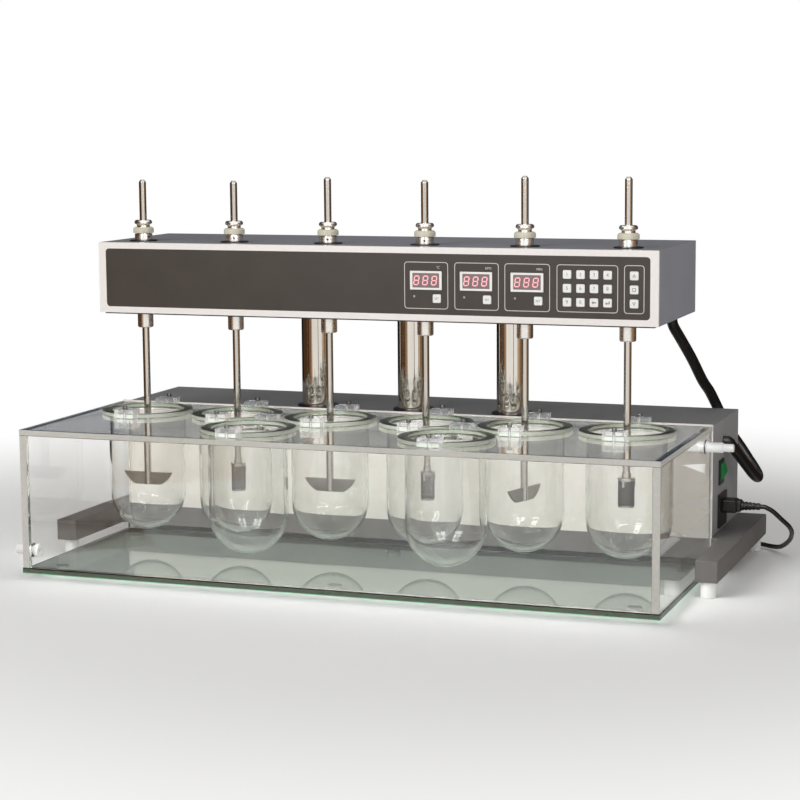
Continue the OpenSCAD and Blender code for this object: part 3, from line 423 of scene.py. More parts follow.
# %% [markdown]
# ## Shapes
# Four helpers do most of the work. `turned` spins a profile as a lathe does,
# `plate` cuts a flat sheet with holes, `softened` takes a CAD solid and breaks its
# sharp edges, and `piece` hangs the result on its CAD body.


# %% Meshes in millimetres
def evaluated(obj):
    mesh = bpy.data.meshes.new_from_object(obj.evaluated_get(bpy.context.evaluated_depsgraph_get()))
    data = obj.data
    bpy.data.objects.remove(obj)
    (bpy.data.meshes if isinstance(data, bpy.types.Mesh) else bpy.data.curves).remove(data)
    return mesh


def finished(mesh, materials=(), crease=30, mend=True):
    if mend:
        work = bmesh.new()
        work.from_mesh(mesh)
        bmesh.ops.remove_doubles(work, verts=work.verts, dist=1e-6)
        bmesh.ops.recalc_face_normals(work, faces=work.faces)
        work.to_mesh(mesh)
        work.free()
    if "custom_normal" in mesh.attributes:
        mesh.attributes.remove(mesh.attributes["custom_normal"])
    for material in materials:
        mesh.materials.append(material)
    mesh.shade_smooth()
    mesh.set_sharp_from_angle(angle=radians(crease))
    # Large faces lead the shading, so that flats stay flat between rounded edges
    obj = linked(mesh.name, mesh)
    even = obj.modifiers.new("even", "WEIGHTED_NORMAL")
    even.mode, even.weight, even.keep_sharp = "FACE_AREA", 100, True
    return evaluated(obj)


def piece(name, mesh, body, slot, *nodes):
    obj = linked(name, mesh)
    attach(obj, body)
    if nodes:
        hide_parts(*nodes)
    return obj


def moved(mesh, x=0.0, y=0.0, z=0.0, turn=None):
    mesh.transform(Matrix.Translation(Vector((x, y, z)) * MM) @ (turn or Matrix.Identity(4)))
    return mesh


def baked(work, name):
    mesh = bpy.data.meshes.new(name)
    work.to_mesh(mesh)
    work.free()
    return mesh


def joined(name, *meshes):
    work = bmesh.new()
    materials = []
    for mesh in meshes:
        shift = {}
        for i, material in enumerate(mesh.materials):
            if material not in materials:
                materials.append(material)
            shift[i] = materials.index(material)
        start = len(work.faces)
        work.from_mesh(mesh)
        work.faces.ensure_lookup_table()
        for face in work.faces[start:]:
            face.material_index = shift.get(face.material_index, 0)
    return finished(baked(work, name), materials, mend=False)


# %% A turned shape: a profile of radius and height, spun round Z
def rounded(corners, steps=4, ring=True):
    line, count = [], len(corners)
    for i, (x, y, r) in enumerate(corners):
        here = Vector((x, y))
        if r == 0 or (not ring and i in (0, count - 1)):
            line.append(here)
            continue
        back, on = Vector(corners[i - 1][:2]) - here, Vector(corners[(i + 1) % count][:2]) - here
        cut = min(r / tan(back.angle(on) / 2), 0.49 * back.length, 0.49 * on.length)
        start, end = here + back.normalized() * cut, here + on.normalized() * cut
        for k in range(steps + 1):
            t = k / steps
            line.append((1 - t) ** 2 * start + 2 * t * (1 - t) * here + t * t * end)
    return line


def turned(name, profile, material, sides=64, ring=True, crease=30):
    points, faces, rows = [], [], []
    for r, z in profile:
        if r < 1e-6:
            rows.append([len(points)] * sides)
            points.append((0, 0, z * MM))
            continue
        rows.append(list(range(len(points), len(points) + sides)))
        points += [(r * MM * cos(2 * pi * k / sides), r * MM * sin(2 * pi * k / sides), z * MM)
                   for k in range(sides)]
    pairs = list(zip(rows, rows[1:])) + ([(rows[-1], rows[0])] if ring else [])
    for low, high in pairs:
        for k in range(sides):
            m = (k + 1) % sides
            corner = list(dict.fromkeys((low[k], low[m], high[m], high[k])))
            if len(corner) > 2:
                faces.append(corner)
    return finished(meshed(name, points, faces), [material], crease)


# %% A box with broken edges, a flat plate with holes, and a softened CAD solid
def softened_edges(work, bevel, steps, angle=30):
    sharp = [e for e in work.edges if len(e.link_faces) == 2 and e.calc_face_angle(0) > radians(angle)]
    bmesh.ops.bevel(work, geom=sharp, offset=bevel * MM, segments=steps, profile=0.5, affect="EDGES",
                    clamp_overlap=True)


def block(name, low, high, bevel, material, steps=2):
    work = bmesh.new()
    bmesh.ops.create_cube(work, size=1)
    for vert in work.verts:
        vert.co = Vector([(a + b) / 2 + v * (b - a) for a, b, v in zip(low, high, vert.co)]) * MM
    softened_edges(work, bevel, steps)
    return finished(baked(work, name), [material], mend=False)


def softened(node, bevel, material, steps=2, angle=30):
    work = bmesh.new()
    work.from_mesh(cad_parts[node].data)
    bmesh.ops.remove_doubles(work, verts=work.verts, dist=1e-6)
    bmesh.ops.dissolve_limit(work, angle_limit=radians(0.3), verts=work.verts, edges=work.edges)
    softened_edges(work, bevel, steps, angle)
    bmesh.ops.triangulate(work, faces=[f for f in work.faces if len(f.verts) > 4])
    mesh = baked(work, node + "_softened")
    mesh.materials.clear()
    for name in ("material_index", "custom_normal"):
        if name in mesh.attributes:
            mesh.attributes.remove(mesh.attributes[name])
    return finished(mesh, [material], mend=False)


def plate(name, outlines, thick, bevel, material):
    flat = bpy.data.curves.new(name, "CURVE")
    flat.dimensions, flat.fill_mode = "2D", "BOTH"
    for line in outlines:
        spline = flat.splines.new("POLY")
        spline.points.add(len(line) - 1)
        for point, spot in zip(spline.points, line):
            point.co = (spot[0] * MM, spot[1] * MM, 0, 1)
        spline.use_cyclic_u = True
    flat.extrude, flat.bevel_depth, flat.bevel_resolution = (thick / 2 - bevel) * MM, bevel * MM, 1
    flat.offset = -bevel * MM
    mesh = evaluated(linked(name, flat))
    mesh.materials.clear()
    return finished(mesh, [material])


def round_hole(x, y, r, count):
    turns = [-2 * pi * k / count for k in range(count)]
    return [(x + r * cos(turn), y + r * sin(turn)) for turn in turns]


def oblong(w, h, r, hole=False):
    line = rounded([(-w / 2, -h / 2, r), (w / 2, -h / 2, r), (w / 2, h / 2, r), (-w / 2, h / 2, r)], 6)
    return line[::-1] if hole else line


# A plate drawn flat in x and y stands up as a front: its y becomes height
STAND = Matrix.Rotation(pi / 2, 4, "X")

# %% [markdown]
# ## Copies by Geometry Nodes
# Feet, vessels, screws, columns and bushes repeat. A node tree puts one part on a cloud
# of points, and ends in Realize Instances and Set Material, so that the result is a
# plain mesh.


# %% What every tree of nodes begins and ends with
def node_tree(name, **inputs):
    tree = bpy.data.node_groups.new(name, "GeometryNodeTree")
    for socket, kind in inputs.items():
        tree.interface.new_socket(socket, in_out="INPUT", socket_type="NodeSocket" + kind)
    tree.interface.new_socket("Geometry", in_out="OUTPUT", socket_type="NodeSocketGeometry")
    return tree, put(tree, "NodeGroupInput").outputs


def ended(tree, geometry, finish):
    real = put(tree, "GeometryNodeRealizeInstances", {"Geometry": geometry})
    done = put(tree, "GeometryNodeSetMaterial", {"Geometry": real, "Material": finish})
    put(tree, "NodeGroupOutput", {"Geometry": done})
    return tree


def grown(obj, tree, **inputs):
    modifier = obj.modifiers.new(tree.name, "NODES")
    modifier.node_group = tree
    for socket in tree.interface.items_tree:
        if socket.in_out == "INPUT" and socket.name in inputs:
            modifier[socket.identifier] = inputs[socket.name]
    return evaluated(obj)


# %% The tree that places copies
def copies_tree():
    tree, given = node_tree("place_copies", Points="Geometry", Part="Object", Finish="Material")
    part = put(tree, "GeometryNodeObjectInfo", {"Object": given["Part"]}).outputs["Geometry"]
    many = put(tree, "GeometryNodeInstanceOnPoints", {"Points": given["Points"], "Instance": part})
    return ended(tree, many, given["Finish"])


place_copies = copies_tree()


def copies(name, part, spots, material):
    base = linked(name + "_part", part)
    cloud = meshed(name + "_points", [Vector(s) * MM for s in spots])
    mesh = grown(linked(name + "_cloud", cloud), place_copies, Part=base, Finish=material)
    bpy.data.objects.remove(base)
    print(name, len(spots), "copies,", len(mesh.polygons), "faces")
    return mesh


# %% [markdown]
# ## Lead, tie and hose
# The lead is the curve measured above. The hose hangs between the head and the cabinet,
# as a swept mesh tube.


# %% The lead as one bevelled curve
lead = bpy.data.curves.new("mains_lead", "CURVE")
lead.dimensions, lead.bevel_depth, lead.bevel_resolution, lead.use_fill_caps = "3D", LEAD_D / 2 * MM, 4, True
spline = lead.splines.new("POLY")
spline.points.add(len(lead_line) - 1)
for point, spot in zip(spline.points, lead_line):
    point.co = (*(spot * MM), 1)
lead.materials.append(black_vinyl)
lead_piece = piece("mains_lead", lead, "base", "black_rubber", "mains_cord", "cord_coil")

# %% The tie round the coil
TIE_W, TIE_T, TIE_GAP = 6.0, 1.2, 0.8
inner = COIL_R - (COIL_TURNS - 0.5) * COIL_STEP - LEAD_D / 2 - TIE_GAP
outer = COIL_R - 0.5 * COIL_STEP + LEAD_D / 2 + TIE_GAP
low, high = LIE - LEAD_D / 2 - TIE_GAP, COIL_TOP + LEAD_D / 2 + TIE_GAP
wide, tall = outer - inner, high - low
loop = [oblong(wide + 2 * TIE_T, tall + 2 * TIE_T, 3), oblong(wide, tall, 2, hole=True)]
tie_mesh = plate("tie", loop, TIE_W, 0.3, black_polymer)
moved(tie_mesh, COIL_X, COIL_Y + (inner + outer) / 2, (low + high) / 2,
      Matrix.Rotation(pi / 2, 4, "Z") @ STAND)
tie = piece("coil_tie", tie_mesh, "base", "black_rubber", "cord_coil")


# %% The hose as a swept tube
def swept(name, line, radius, sides, material):
    points, faces = [], []
    side = None
    for i, spot in enumerate(line):
        run = (line[min(i + 1, len(line) - 1)] - line[max(i - 1, 0)]).normalized()
        side = (side or run.orthogonal())
        side = (side - run * side.dot(run)).normalized()
        lift = run.cross(side)
        points += [(spot + radius * (cos(a) * side + sin(a) * lift)) * MM
                   for a in (2 * pi * k / sides for k in range(sides))]
    for i in range(len(line) - 1):
        for k in range(sides):
            m = (k + 1) % sides
            faces.append((i * sides + k, i * sides + m, (i + 1) * sides + m, (i + 1) * sides + k))
    faces += [tuple(range(sides))[::-1], tuple(range(len(points) - sides, len(points)))]
    return finished(meshed(name, points, faces), [material], 50)


hose_line = [HOSE_START] + course(HOSE_ROUTE, 6) + [HOSE_END]
hose = linked("wiring_hose_tube", swept("wiring_hose_tube", hose_line, HOSE_D / 2, 24, black_vinyl))
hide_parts("wiring_hose")
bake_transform(hose)
print("hose", round(length_of(hose_line), 3), "m")

# %% [markdown]
# ## Base, feet and cabinet
# The base is a heavy coated slab, U-shaped round the bath, and the cabinet a folded
# steel cover with an ivory front panel whose edge is painted lighter, a painted highlight that shows as a line.


# %% Slab, cabinet and front panel from the CAD solids, edges broken
def edged(mesh, material, chosen):
    mesh.materials.append(material)
    for face in mesh.polygons:
        if chosen(face):
            face.material_index = len(mesh.materials) - 1
    return mesh


piece("base_slab_body", softened("base_slab", 1.2, slab_coat, 3), "base", "base_coat", "base_slab")
piece("cabinet_cover", softened("cabinet_shell", 0.9, cabinet_coat), "base", "cabinet_coat", "cabinet_shell")
# The panel's edge faces take the lighter off-white enamel: a painted highlight, so that the edge reads as a bright
# line
panel = edged(softened("cabinet_front", 0.5, panel_enamel), front_enamel, lambda face: abs(face.normal.y) < 0.95)
piece("cabinet_panel", panel, "base", "panel_coat", "cabinet_front")

# %% Feet under the slab and pads under the bath
SLAB_X, FOOT_R, FOOT_H, PAD_H = 466.0, 10.0, 22.0, 7.0
FOOT_Y, PAD_X, PAD_Y = (-79, 236), (-402, 0, 402), (-212.8, 12.7)


def stub(height, edge, sides):
    line = rounded([(0, 0, 0), (FOOT_R, 0, edge), (FOOT_R, height, 0.4), (0, height, 0)], 3, False)
    return turned("foot", line, foot_polymer, sides, False)


feet = copies("feet", stub(FOOT_H, 1.2, 40), [(x, y, 0) for x in (-SLAB_X, SLAB_X) for y in FOOT_Y], foot_polymer)
pads = copies("pads", stub(PAD_H, 0.8, 32), [(x, y, 0) for x in PAD_X for y in PAD_Y], foot_polymer)
piece("feet_and_pads", joined("feet_and_pads", feet, pads), "base", "foot_rubber", "rest_feet")

# %% [markdown]
# ## The bath
# Four walls of clear sheet are cemented edge to edge, so each is a block of its own and
# the seams show as bright lines. The floor is thick float glass with a green edge, and
# the cover a clear plate with a round hole for each vessel.

# %% Walls, floor and cover
TANK_X, TANK_FRONT, TANK_BACK = 442.0, -252.8, 52.7
WALL, WALL_LOW, WALL_TOP, COVER_TOP, SEAM = 10.0, 15.0, 197.0, 205.0, 0.05
inside = TANK_X - WALL - SEAM
low, high = WALL_LOW + SEAM, WALL_TOP - SEAM
sheets = [((-TANK_X, TANK_FRONT), (-TANK_X + WALL, TANK_BACK)), ((TANK_X - WALL, TANK_FRONT), (TANK_X, TANK_BACK)),
          ((-inside, TANK_FRONT), (inside, TANK_FRONT + WALL)), ((-inside, TANK_BACK - WALL), (inside, TANK_BACK))]
walls = [block("wall", (*near, low), (*far, high), 0.5, acrylic) for near, far in sheets]
for wall in walls[:2]:
    edged(wall, sawn_edge, lambda face: abs(face.normal.y) > 0.9)
piece("bath_walls", joined("bath_walls", *walls), "base", "clear_acrylic", "tank_walls")
bottom_glass = edged(softened("tank_floor", 1.3, float_glass), ground_edge, lambda face: abs(face.normal.z) < 0.3)
# The downward chamfer is painted bright: a painted highlight
edged(bottom_glass, arris_painted_highlight, lambda face: -0.95 < face.normal.z <= -0.3)
piece("bath_floor", bottom_glass, "base", "floor_glass", "tank_floor")
ROW_Y, FRONT_Y, PITCH_X, HOLE_R = -50.0, -170.0, 140.0, 54.5
ROW_X = [(i - 2.5) * PITCH_X for i in range(6)]
vessel_spots = [(x, ROW_Y) for x in ROW_X] + [(-PITCH_X, FRONT_Y), (PITCH_X, FRONT_Y)]
cover_outline = [(-TANK_X, TANK_FRONT), (TANK_X, TANK_FRONT), (TANK_X, TANK_BACK), (-TANK_X, TANK_BACK)]
holes = [round_hole(x, y, HOLE_R, 96) for x, y in vessel_spots]
cover = plate("cover", [cover_outline] + holes, COVER_TOP - WALL_TOP, 0.5, acrylic)
rear, front, ends = (TANK_BACK - 1) * MM, (TANK_FRONT + 1) * MM, (TANK_X - 1) * MM


def on_cut(face):
    x, y, _ = face.center
    return abs(face.normal.z) < 0.3 and (abs(x) > ends or y > rear or y < front)


edged(cover, sawn_edge, on_cut)
piece("bath_cover", moved(cover, z=(WALL_TOP + COVER_TOP) / 2), "base", "clear_acrylic", "tank_cover")

# %% Vessels: blown glass with a ground flange
VESSEL_R, VESSEL_IN, NECK_Z, FLANGE_R, FLANGE_TOP, BALL_Z = 53.5, 51.0, 190, 64.0, 211.0, 92.5
quarter = [pi / 2 * k / 28 for k in range(29)]
outside, hollow = ([(r * sin(a), BALL_Z - r * cos(a)) for a in quarter] for r in (VESSEL_R, VESSEL_IN))
rim = rounded([(VESSEL_R, NECK_Z, 0), (VESSEL_R, COVER_TOP, 2.5), (FLANGE_R, COVER_TOP, 1.6),
               (FLANGE_R, FLANGE_TOP, 1.6), (VESSEL_IN, FLANGE_TOP, 2.2), (VESSEL_IN, NECK_Z, 0)], 5, False)
vessel = turned("vessel", outside + rim + hollow[::-1], blown_glass, 96, False, 60)
vessels = copies("vessels", vessel, [(x, y, 0) for x, y in vessel_spots], blown_glass)
vessels = finished(vessels, crease=60, mend=False)
RIM_FROM = (FLANGE_R - 0.5) * MM


def on_rim(face):
    x, y = face.center.x, face.center.y
    return abs(face.normal.z) < 0.7 and min(hypot(x - a * MM, y - b * MM) for a, b in vessel_spots) > RIM_FROM


edged(vessels, ground_rim, on_rim)
# The flange is ground flat on top, so the glass is rough there
tree = blown_glass.node_tree
shader = tree.nodes["Principled BSDF"]
film = shader.inputs["Roughness"].links[0].from_socket
place = put(tree, "ShaderNodeTexCoord").outputs["Object"]
height = put(tree, "ShaderNodeSeparateXYZ", {0: place}).outputs["Z"]
ground = put(tree, "ShaderNodeMapRange", {"Value": height, "From Min": (FLANGE_TOP - 1) * MM,
                                          "From Max": (FLANGE_TOP - 0.2) * MM, "To Max": 0.45})
rougher = put(tree, "ShaderNodeMath", {0: film, 1: ground}, operation="MAXIMUM")
tree.links.new(rougher.outputs[0], shader.inputs["Roughness"])
piece("glass_vessels", vessels, "base", "vessel_glass", "vessels")

# %% Clamps and their screws
clamps = softened("vessel_clamps", 1.2, milled_acrylic, 2, 40)
piece("flange_clamps", clamps, "base", "clear_acrylic", "vessel_clamps")
SCREW_R, SCREW_H, CLAMP_TOP, CLAMP_OUT = 3.5, 4.5, 218.0, 69.5
screw_profile = rounded([(0, -4, 0), (1.6, -4, 0.4), (1.6, 0, 0), (SCREW_R, 0, 0.3), (SCREW_R, SCREW_H, 1.4),
                         (1.7, SCREW_H, 0.2), (1.5, SCREW_H - 2, 0), (0, SCREW_H - 2, 0)], 4, False)
screw = turned("screw", screw_profile, screw_steel, 24, False)
screw_spots = [(x, y + side * CLAMP_OUT, CLAMP_TOP) for x, y in vessel_spots for side in (-1, 1)]
clamp_screws = copies("clamp_screws", screw, screw_spots, screw_steel)
piece("clamp_screws", finished(clamp_screws, mend=False), "base", "screw_steel", "small_screws")

# %% Fill and drain nozzles, turned along the wall's normal
BORE_R, LIP = 3.0, 3
ALONG_X, AGAINST_X = (Matrix.Rotation(side * pi / 2, 4, "Y") for side in (1, -1))
NOZZLES = [("fill", 21, 14, (TANK_X, 8, 183), ALONG_X), ("drain", 18, 0, (-TANK_X, TANK_FRONT + 23, 36), AGAINST_X)]
washer_line = rounded([(6.2, 0.05, 0), (9.6, 0.05, 0.5), (9.6, 1.4, 0.5), (8.7, 1.4, 0), (8.7, 0.4, 0),
                       (6.2, 0.4, 0)], 3)


def nozzle(name, barrel, tip):
    line = [(BORE_R, -16, 0.3), (9, -16, 0.8), (9, -10, 0.3), (6, -10, 0), (6, 0, 0), (8.6, 0.4, 0.4),
            (8.6, LIP, 0.6), (6.8, LIP, 0.4), (6.8, LIP + barrel, 0.9)]
    if tip:
        line += [(5.4, LIP + barrel, 0.3), (5.4, LIP + barrel + tip, 1.8)]
    line += [(BORE_R, LIP + barrel + tip, 0.6)]
    return turned(name, rounded(line, 4), white_polymer, 40)


nozzles, washers = [], []
for name, barrel, tip, spot, turn in NOZZLES:
    nozzles.append(moved(nozzle(name, barrel, tip), *spot, turn))
    washers.append(moved(turned("washer", washer_line, black_vinyl, 40), *spot, turn))
piece("bath_nozzles", joined("bath_nozzles", *nozzles), "base", "fitting_plastic", "tank_fittings")
piece("nozzle_washers", joined("nozzle_washers", *washers), "base", "black_rubber")

# %% [markdown]
# ## Lift columns
# Three chromed tubes carry the head and slide in black bushes let into the cabinet's top.

# %% Columns and bushes
COLUMN_R, COLUMN_IN, COLUMN_LOW, COLUMN_Y, COLUMN_X = 22.5, 20.0, 84.0, 97.0, (-148, 0, 148)
column_spots = [(x, COLUMN_Y, 0) for x in COLUMN_X]
COLLET_R, COLLET_Z, GROOVE = 25.5, HEAD_LOW - 7, 0.8
column_line = rounded([(COLUMN_IN, COLUMN_LOW, 0.4), (COLUMN_R, COLUMN_LOW, 0.8), (COLUMN_R, COLLET_Z - 0.6, 0),
                       (COLUMN_R - GROOVE, COLLET_Z - 0.4, 0), (COLUMN_R - GROOVE, COLLET_Z, 0),
                       (COLLET_R, COLLET_Z, 0.8), (COLLET_R, HEAD_LOW, 0.5), (COLUMN_IN, HEAD_LOW, 0.3)], 4)
columns = copies("columns", turned("column", column_line, chrome, 96), column_spots, chrome)
piece("chrome_columns", finished(columns, mend=False), "head", "column_chrome", "lift_columns")
CABINET_TOP, BUSH_IN, BUSH_R, BUSH_RIM = 203.0, 22.55, 25, 29.5
bush_line = rounded([(BUSH_IN, CABINET_TOP - 40, 0.4), (BUSH_R, CABINET_TOP - 40, 0.6), (BUSH_R, CABINET_TOP, 0),
                     (BUSH_RIM, CABINET_TOP, 0.2), (BUSH_RIM, CABINET_TOP + 3, 1.2),
                     (BUSH_IN, CABINET_TOP + 3, 0.6)], 4)
bushes = copies("bushes", turned("bush", bush_line, black_acetal, 72), column_spots, black_acetal)
piece("slide_bushes", finished(bushes, mend=False), "base", "bush_plastic", "column_bushes")

# %% [markdown]
# ## The head
# A folded grey cover with an off-white front plate. A dark printed film is let into the
# plate, with three displays, a keypad and thin white outlines round each group.


# %% Cover, front plate, base plate and film
def refinish(node, material):
    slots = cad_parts[node].data.materials
    slots.clear()
    slots.append(material)


piece("head_cover", softened("head_shell", 0.9, head_coat), "head", "head_coat", "head_shell")
piece("head_plate", softened("head_front", 0.7, front_enamel), "head", "front_coat", "head_front")
BASE_T, BASE_X = 2.0, 394.0
HEAD_FRONT, BASE_FRONT, BASE_BACK = -91.0, -86.5, 130.0
under = [(-BASE_X, BASE_FRONT), (BASE_X, BASE_FRONT), (BASE_X, BASE_BACK), (-BASE_X, BASE_BACK)]
openings = [round_hole(x, ROW_Y, 13, 48) for x in ROW_X] + [round_hole(x, COLUMN_Y, 26, 64) for x in COLUMN_X]
openings.append(round_hole(HOSE_START.x, HOSE_START.y, HOSE_D / 2 + 1, 32))
# The plate under the head is black: partly a real base plate, partly painted shade, so that its edge reads as the
# shadow line under the front plate
base_plate = plate("base_plate", [under] + openings, BASE_T, 0.3, black_acetal)
piece("head_base_plate", moved(base_plate, z=HEAD_LOW - BASE_T / 2), "head", "head_coat")
refinish("head_fascia", fascia_film)

# %% White outlines and unit marks, printed on the film
INK = 0.06
GROUPS = [(54.9, 116.4, 16.0, 78.5), (125.2, 186.4, 16.0, 78.5), (194.3, 256.0, 16.0, 78.5),
          (265.0, 346.8, 16.5, 78.3), (354.7, 381.4, 16.3, 78.8)]
LINE_W, LINE_R = 0.9, 5.0


# On the head a place is given by x, how far it stands before the film, and height above the head's foot
def on_front(mesh, x, proud, z):
    return moved(mesh, x, HEAD_FRONT - proud, HEAD_LOW + z, STAND)


lines = []
for x0, x1, z0, z1 in GROUPS:
    w, h = x1 - x0, z1 - z0
    outline = [oblong(w, h, LINE_R), oblong(w - 2 * LINE_W, h - 2 * LINE_W, LINE_R - LINE_W, hole=True)]
    lines.append(on_front(plate("outline", outline, INK, 0.0, white_ink), (x0 + x1) / 2, INK / 2, (z0 + z1) / 2))


def lettering(text, size, depth, material):
    curve = bpy.data.curves.new("text", "FONT")
    curve.body, curve.size, curve.extrude = text, size * MM, depth / 2 * MM
    curve.align_x, curve.align_y = "CENTER", "CENTER"
    mesh = evaluated(linked("text", curve))
    mesh.materials.clear()
    return finished(mesh, [material])


DISPLAYS, DISPLAY_Z = [85.6, 155.4, 225.2], 54.0
UNIT_X, UNIT_Z, UNIT_H = 16.5, DISPLAY_Z + 17.2, 4.6
for x, unit in zip(DISPLAYS, ("°C", "RPM", "MIN")):
    lines.append(on_front(lettering(unit, UNIT_H, INK, white_ink), x + UNIT_X, INK / 2, UNIT_Z))
piece("film_print", joined("film_print", *lines), "head", "fascia_film")

# %% Displays: white bezel, smoked lens, three lit digits
BEZEL_W, BEZEL_H, BEZEL_T, WINDOW_W, WINDOW_H = 44.5, 25.0, 1.6, 37.5, 19.4
DIGIT_W, DIGIT_H, SEGMENT, DIGIT_PITCH, LEAN = 6.4, 11.4, 1.4, 12.4, 0.14


def digit_bars():
    a, b, t, slit = DIGIT_W / 2, DIGIT_H / 2, SEGMENT / 2, 0.25
    bars = []
    for z in (-b, 0, b):
        bars.append([(-a + t + slit, z - t), (a - t - slit, z - t), (a - slit, z),
                     (a - t - slit, z + t), (-a + t + slit, z + t), (-a + slit, z)])
    for x in (-a, a):
        for z in (-b / 2, b / 2):
            h = b / 2 - slit
            bars.append([(x, z - h), (x + t, z - h + t), (x + t, z + h - t),
                         (x, z + h), (x - t, z + h - t), (x - t, z - h + t)])
    return [[(x + LEAN * z, z) for x, z in bar] for bar in bars]


dome = rounded([(0, 0, 0), (1.5, 0, 0), (1.5, 0.7, 0.6), (0, 1.0, 0)], 4, False)
LAMP_X, LAMP_Z, DIGIT_X = -16.5, 32.6, -0.8
bezels, lenses, digits, lamps = [], [], [], []
for x in DISPLAYS:
    around = [oblong(BEZEL_W, BEZEL_H, 1.0), oblong(WINDOW_W, WINDOW_H, 0.6, hole=True)]
    bezels.append(on_front(plate("bezel", around, BEZEL_T, 0.35, bezel_polymer), x, BEZEL_T / 2, DISPLAY_Z))
    pane = plate("lens", [oblong(WINDOW_W - 0.1, WINDOW_H - 0.1, 0.6)], 0.5, 0.05, red_lens)
    lenses.append(on_front(pane, x, 0.8, DISPLAY_Z))
    for k in (-1, 0, 1):
        glyph = plate("digit", digit_bars(), 0.1, 0.0, lit_segment)
        digits.append(on_front(glyph, x + k * DIGIT_PITCH + DIGIT_X, 1.1, DISPLAY_Z))
    lamps.append(on_front(turned("lamp", dome, lamp_lens, 20, False), x + LAMP_X, 0.4, LAMP_Z))
piece("display_bezels", joined("display_bezels", *bezels), "head", "key_plastic")
piece("display_lenses", joined("display_lenses", *lenses), "head", "display_plastic")
piece("display_digits", joined("display_digits", *digits), "head", "display_plastic")
piece("display_lamps", joined("display_lamps", *lamps), "head", "display_plastic")

# %% [markdown]
# ## Keys
# Every key moves by itself, so every key is a mesh of its own on its own body: a cap of
# the CAD key's size with rounded edges, and a small grey mark joined to the same mesh.

# %% Keys with plain numbers, arrows and signs
KEY_W, KEY_R, DIGIT_SIZE, SET_SIZE = 11.4, 2.0, 6.4, 3.8
MARK_Y = HEAD_FRONT - 0.83


def mark_of(*outlines):
    return plate("mark", outlines, INK, 0.0, grey_ink)


def arrow(turn):
    spin = Matrix.Rotation(turn, 2)
    outer, inner = [(-2.4, -1.8), (2.4, -1.8), (0, 2.4)], [(0, 1.1), (1.3, -1.15), (-1.3, -1.15)]
    return mark_of([spin @ Vector(p) for p in outer], [spin @ Vector(p) for p in inner])


marks = {"pad_key_%d" % i: lettering(digit, DIGIT_SIZE, INK, grey_ink)
         for i, digit in enumerate("1234567890", 1)}
marks["pad_key_11"] = mark_of([(-3, 0), (-0.6, -2.2), (-0.6, -0.7), (3, -0.7), (3, 0.7), (-0.6, 0.7), (-0.6, 2.2)])
marks["pad_key_12"] = mark_of([(-3, -0.8), (-0.8, -2.8), (-0.8, -1.4), (3, -1.4), (3, 2.4), (1.8, 2.4), (1.8, -0.2),
                               (-0.8, -0.2), (-0.8, 1.2)])
for i in (1, 2, 3):
    marks["set_key_%d" % i] = lettering("SET", SET_SIZE, INK, grey_ink)
marks["lift_key_1"], marks["lift_key_3"] = arrow(0), arrow(pi)
marks["lift_key_2"] = mark_of(oblong(4.6, 4.6, 0.3), oblong(3.2, 3.2, 0.2, hole=True))
for node, mark in marks.items():
    low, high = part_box(node)
    middle = (low + high) / (2 * MM)
    mark = moved(mark, middle.x, MARK_Y, middle.z, STAND)
    cap = plate("cap", [oblong(KEY_W, KEY_W, KEY_R)], (high.y - low.y) / MM, 0.6, key_polymer)
    cap = moved(cap, *middle, STAND)
    piece(node + "_cap", joined(node + "_cap", cap, mark), node, "key_plastic", node)
print(len(marks), "keys")

# %% [markdown]
# ## Spindles and shafts
# Each spindle is a turned steel sleeve with a nose below the head, a collar with a
# set-screw hole, an ivory ring and a flared chuck. The shafts slide in them. Odd ones
# carry a paddle, even ones a wire basket.

# %% The turned sleeve and its ring
HEAD_TOP = 449.0
COLLAR_Z, RING_Z, CHUCK_Z, PULLEY_Z = HEAD_TOP + 2.0, HEAD_TOP + 11.5, HEAD_TOP + 23.0, HEAD_LOW + 42
BORE, SLEEVE_R, COLLAR_R, NOSE_R, NOSE_L, PULLEY_R = 5.05, 9.0, 12.3, 11.0, 24.0, 20.0
sleeve_line = rounded([
    (BORE, HEAD_LOW - NOSE_L, 0.3), (NOSE_R, HEAD_LOW - NOSE_L, 2.4), (NOSE_R, HEAD_LOW - 0.5, 0.3),
    (SLEEVE_R, HEAD_LOW - 0.5, 0), (SLEEVE_R, PULLEY_Z, 0), (PULLEY_R, PULLEY_Z, 0.4),
    (PULLEY_R, PULLEY_Z + 14, 0.4), (SLEEVE_R, PULLEY_Z + 14, 0), (SLEEVE_R, COLLAR_Z, 0),
    (COLLAR_R, COLLAR_Z, 0.4), (COLLAR_R, COLLAR_Z + 8.5, 0.6), (SLEEVE_R, COLLAR_Z + 8.5, 0),
    (SLEEVE_R, CHUCK_Z - 0.2, 1.2), (COLLAR_R, CHUCK_Z + 2.0, 0.6),
    (COLLAR_R, CHUCK_Z + 4.6, 0.7), (COLLAR_R - 1.6, CHUCK_Z + 6.5, 0.4), (BORE, CHUCK_Z + 6.5, 0.5)], 3)
RING_IN, RING_R = SLEEVE_R + 0.02, 14.5
ring_line = rounded([(RING_IN, RING_Z, 0), (RING_R, RING_Z, 1.0), (RING_R, RING_Z + 6.0, 1.2),
                     (12.4, RING_Z + 8, 0.6), (RING_IN, RING_Z + 8, 0)], 3)
hole_line = rounded([(0, -0.6, 0), (1.5, -0.6, 0), (1.5, 0.05, 0), (0, 0.05, 0)], 1, False)
hole_place = Matrix.Translation(Vector((COLLAR_R, 0, COLLAR_Z + 4.25)) * MM) @ ALONG_X
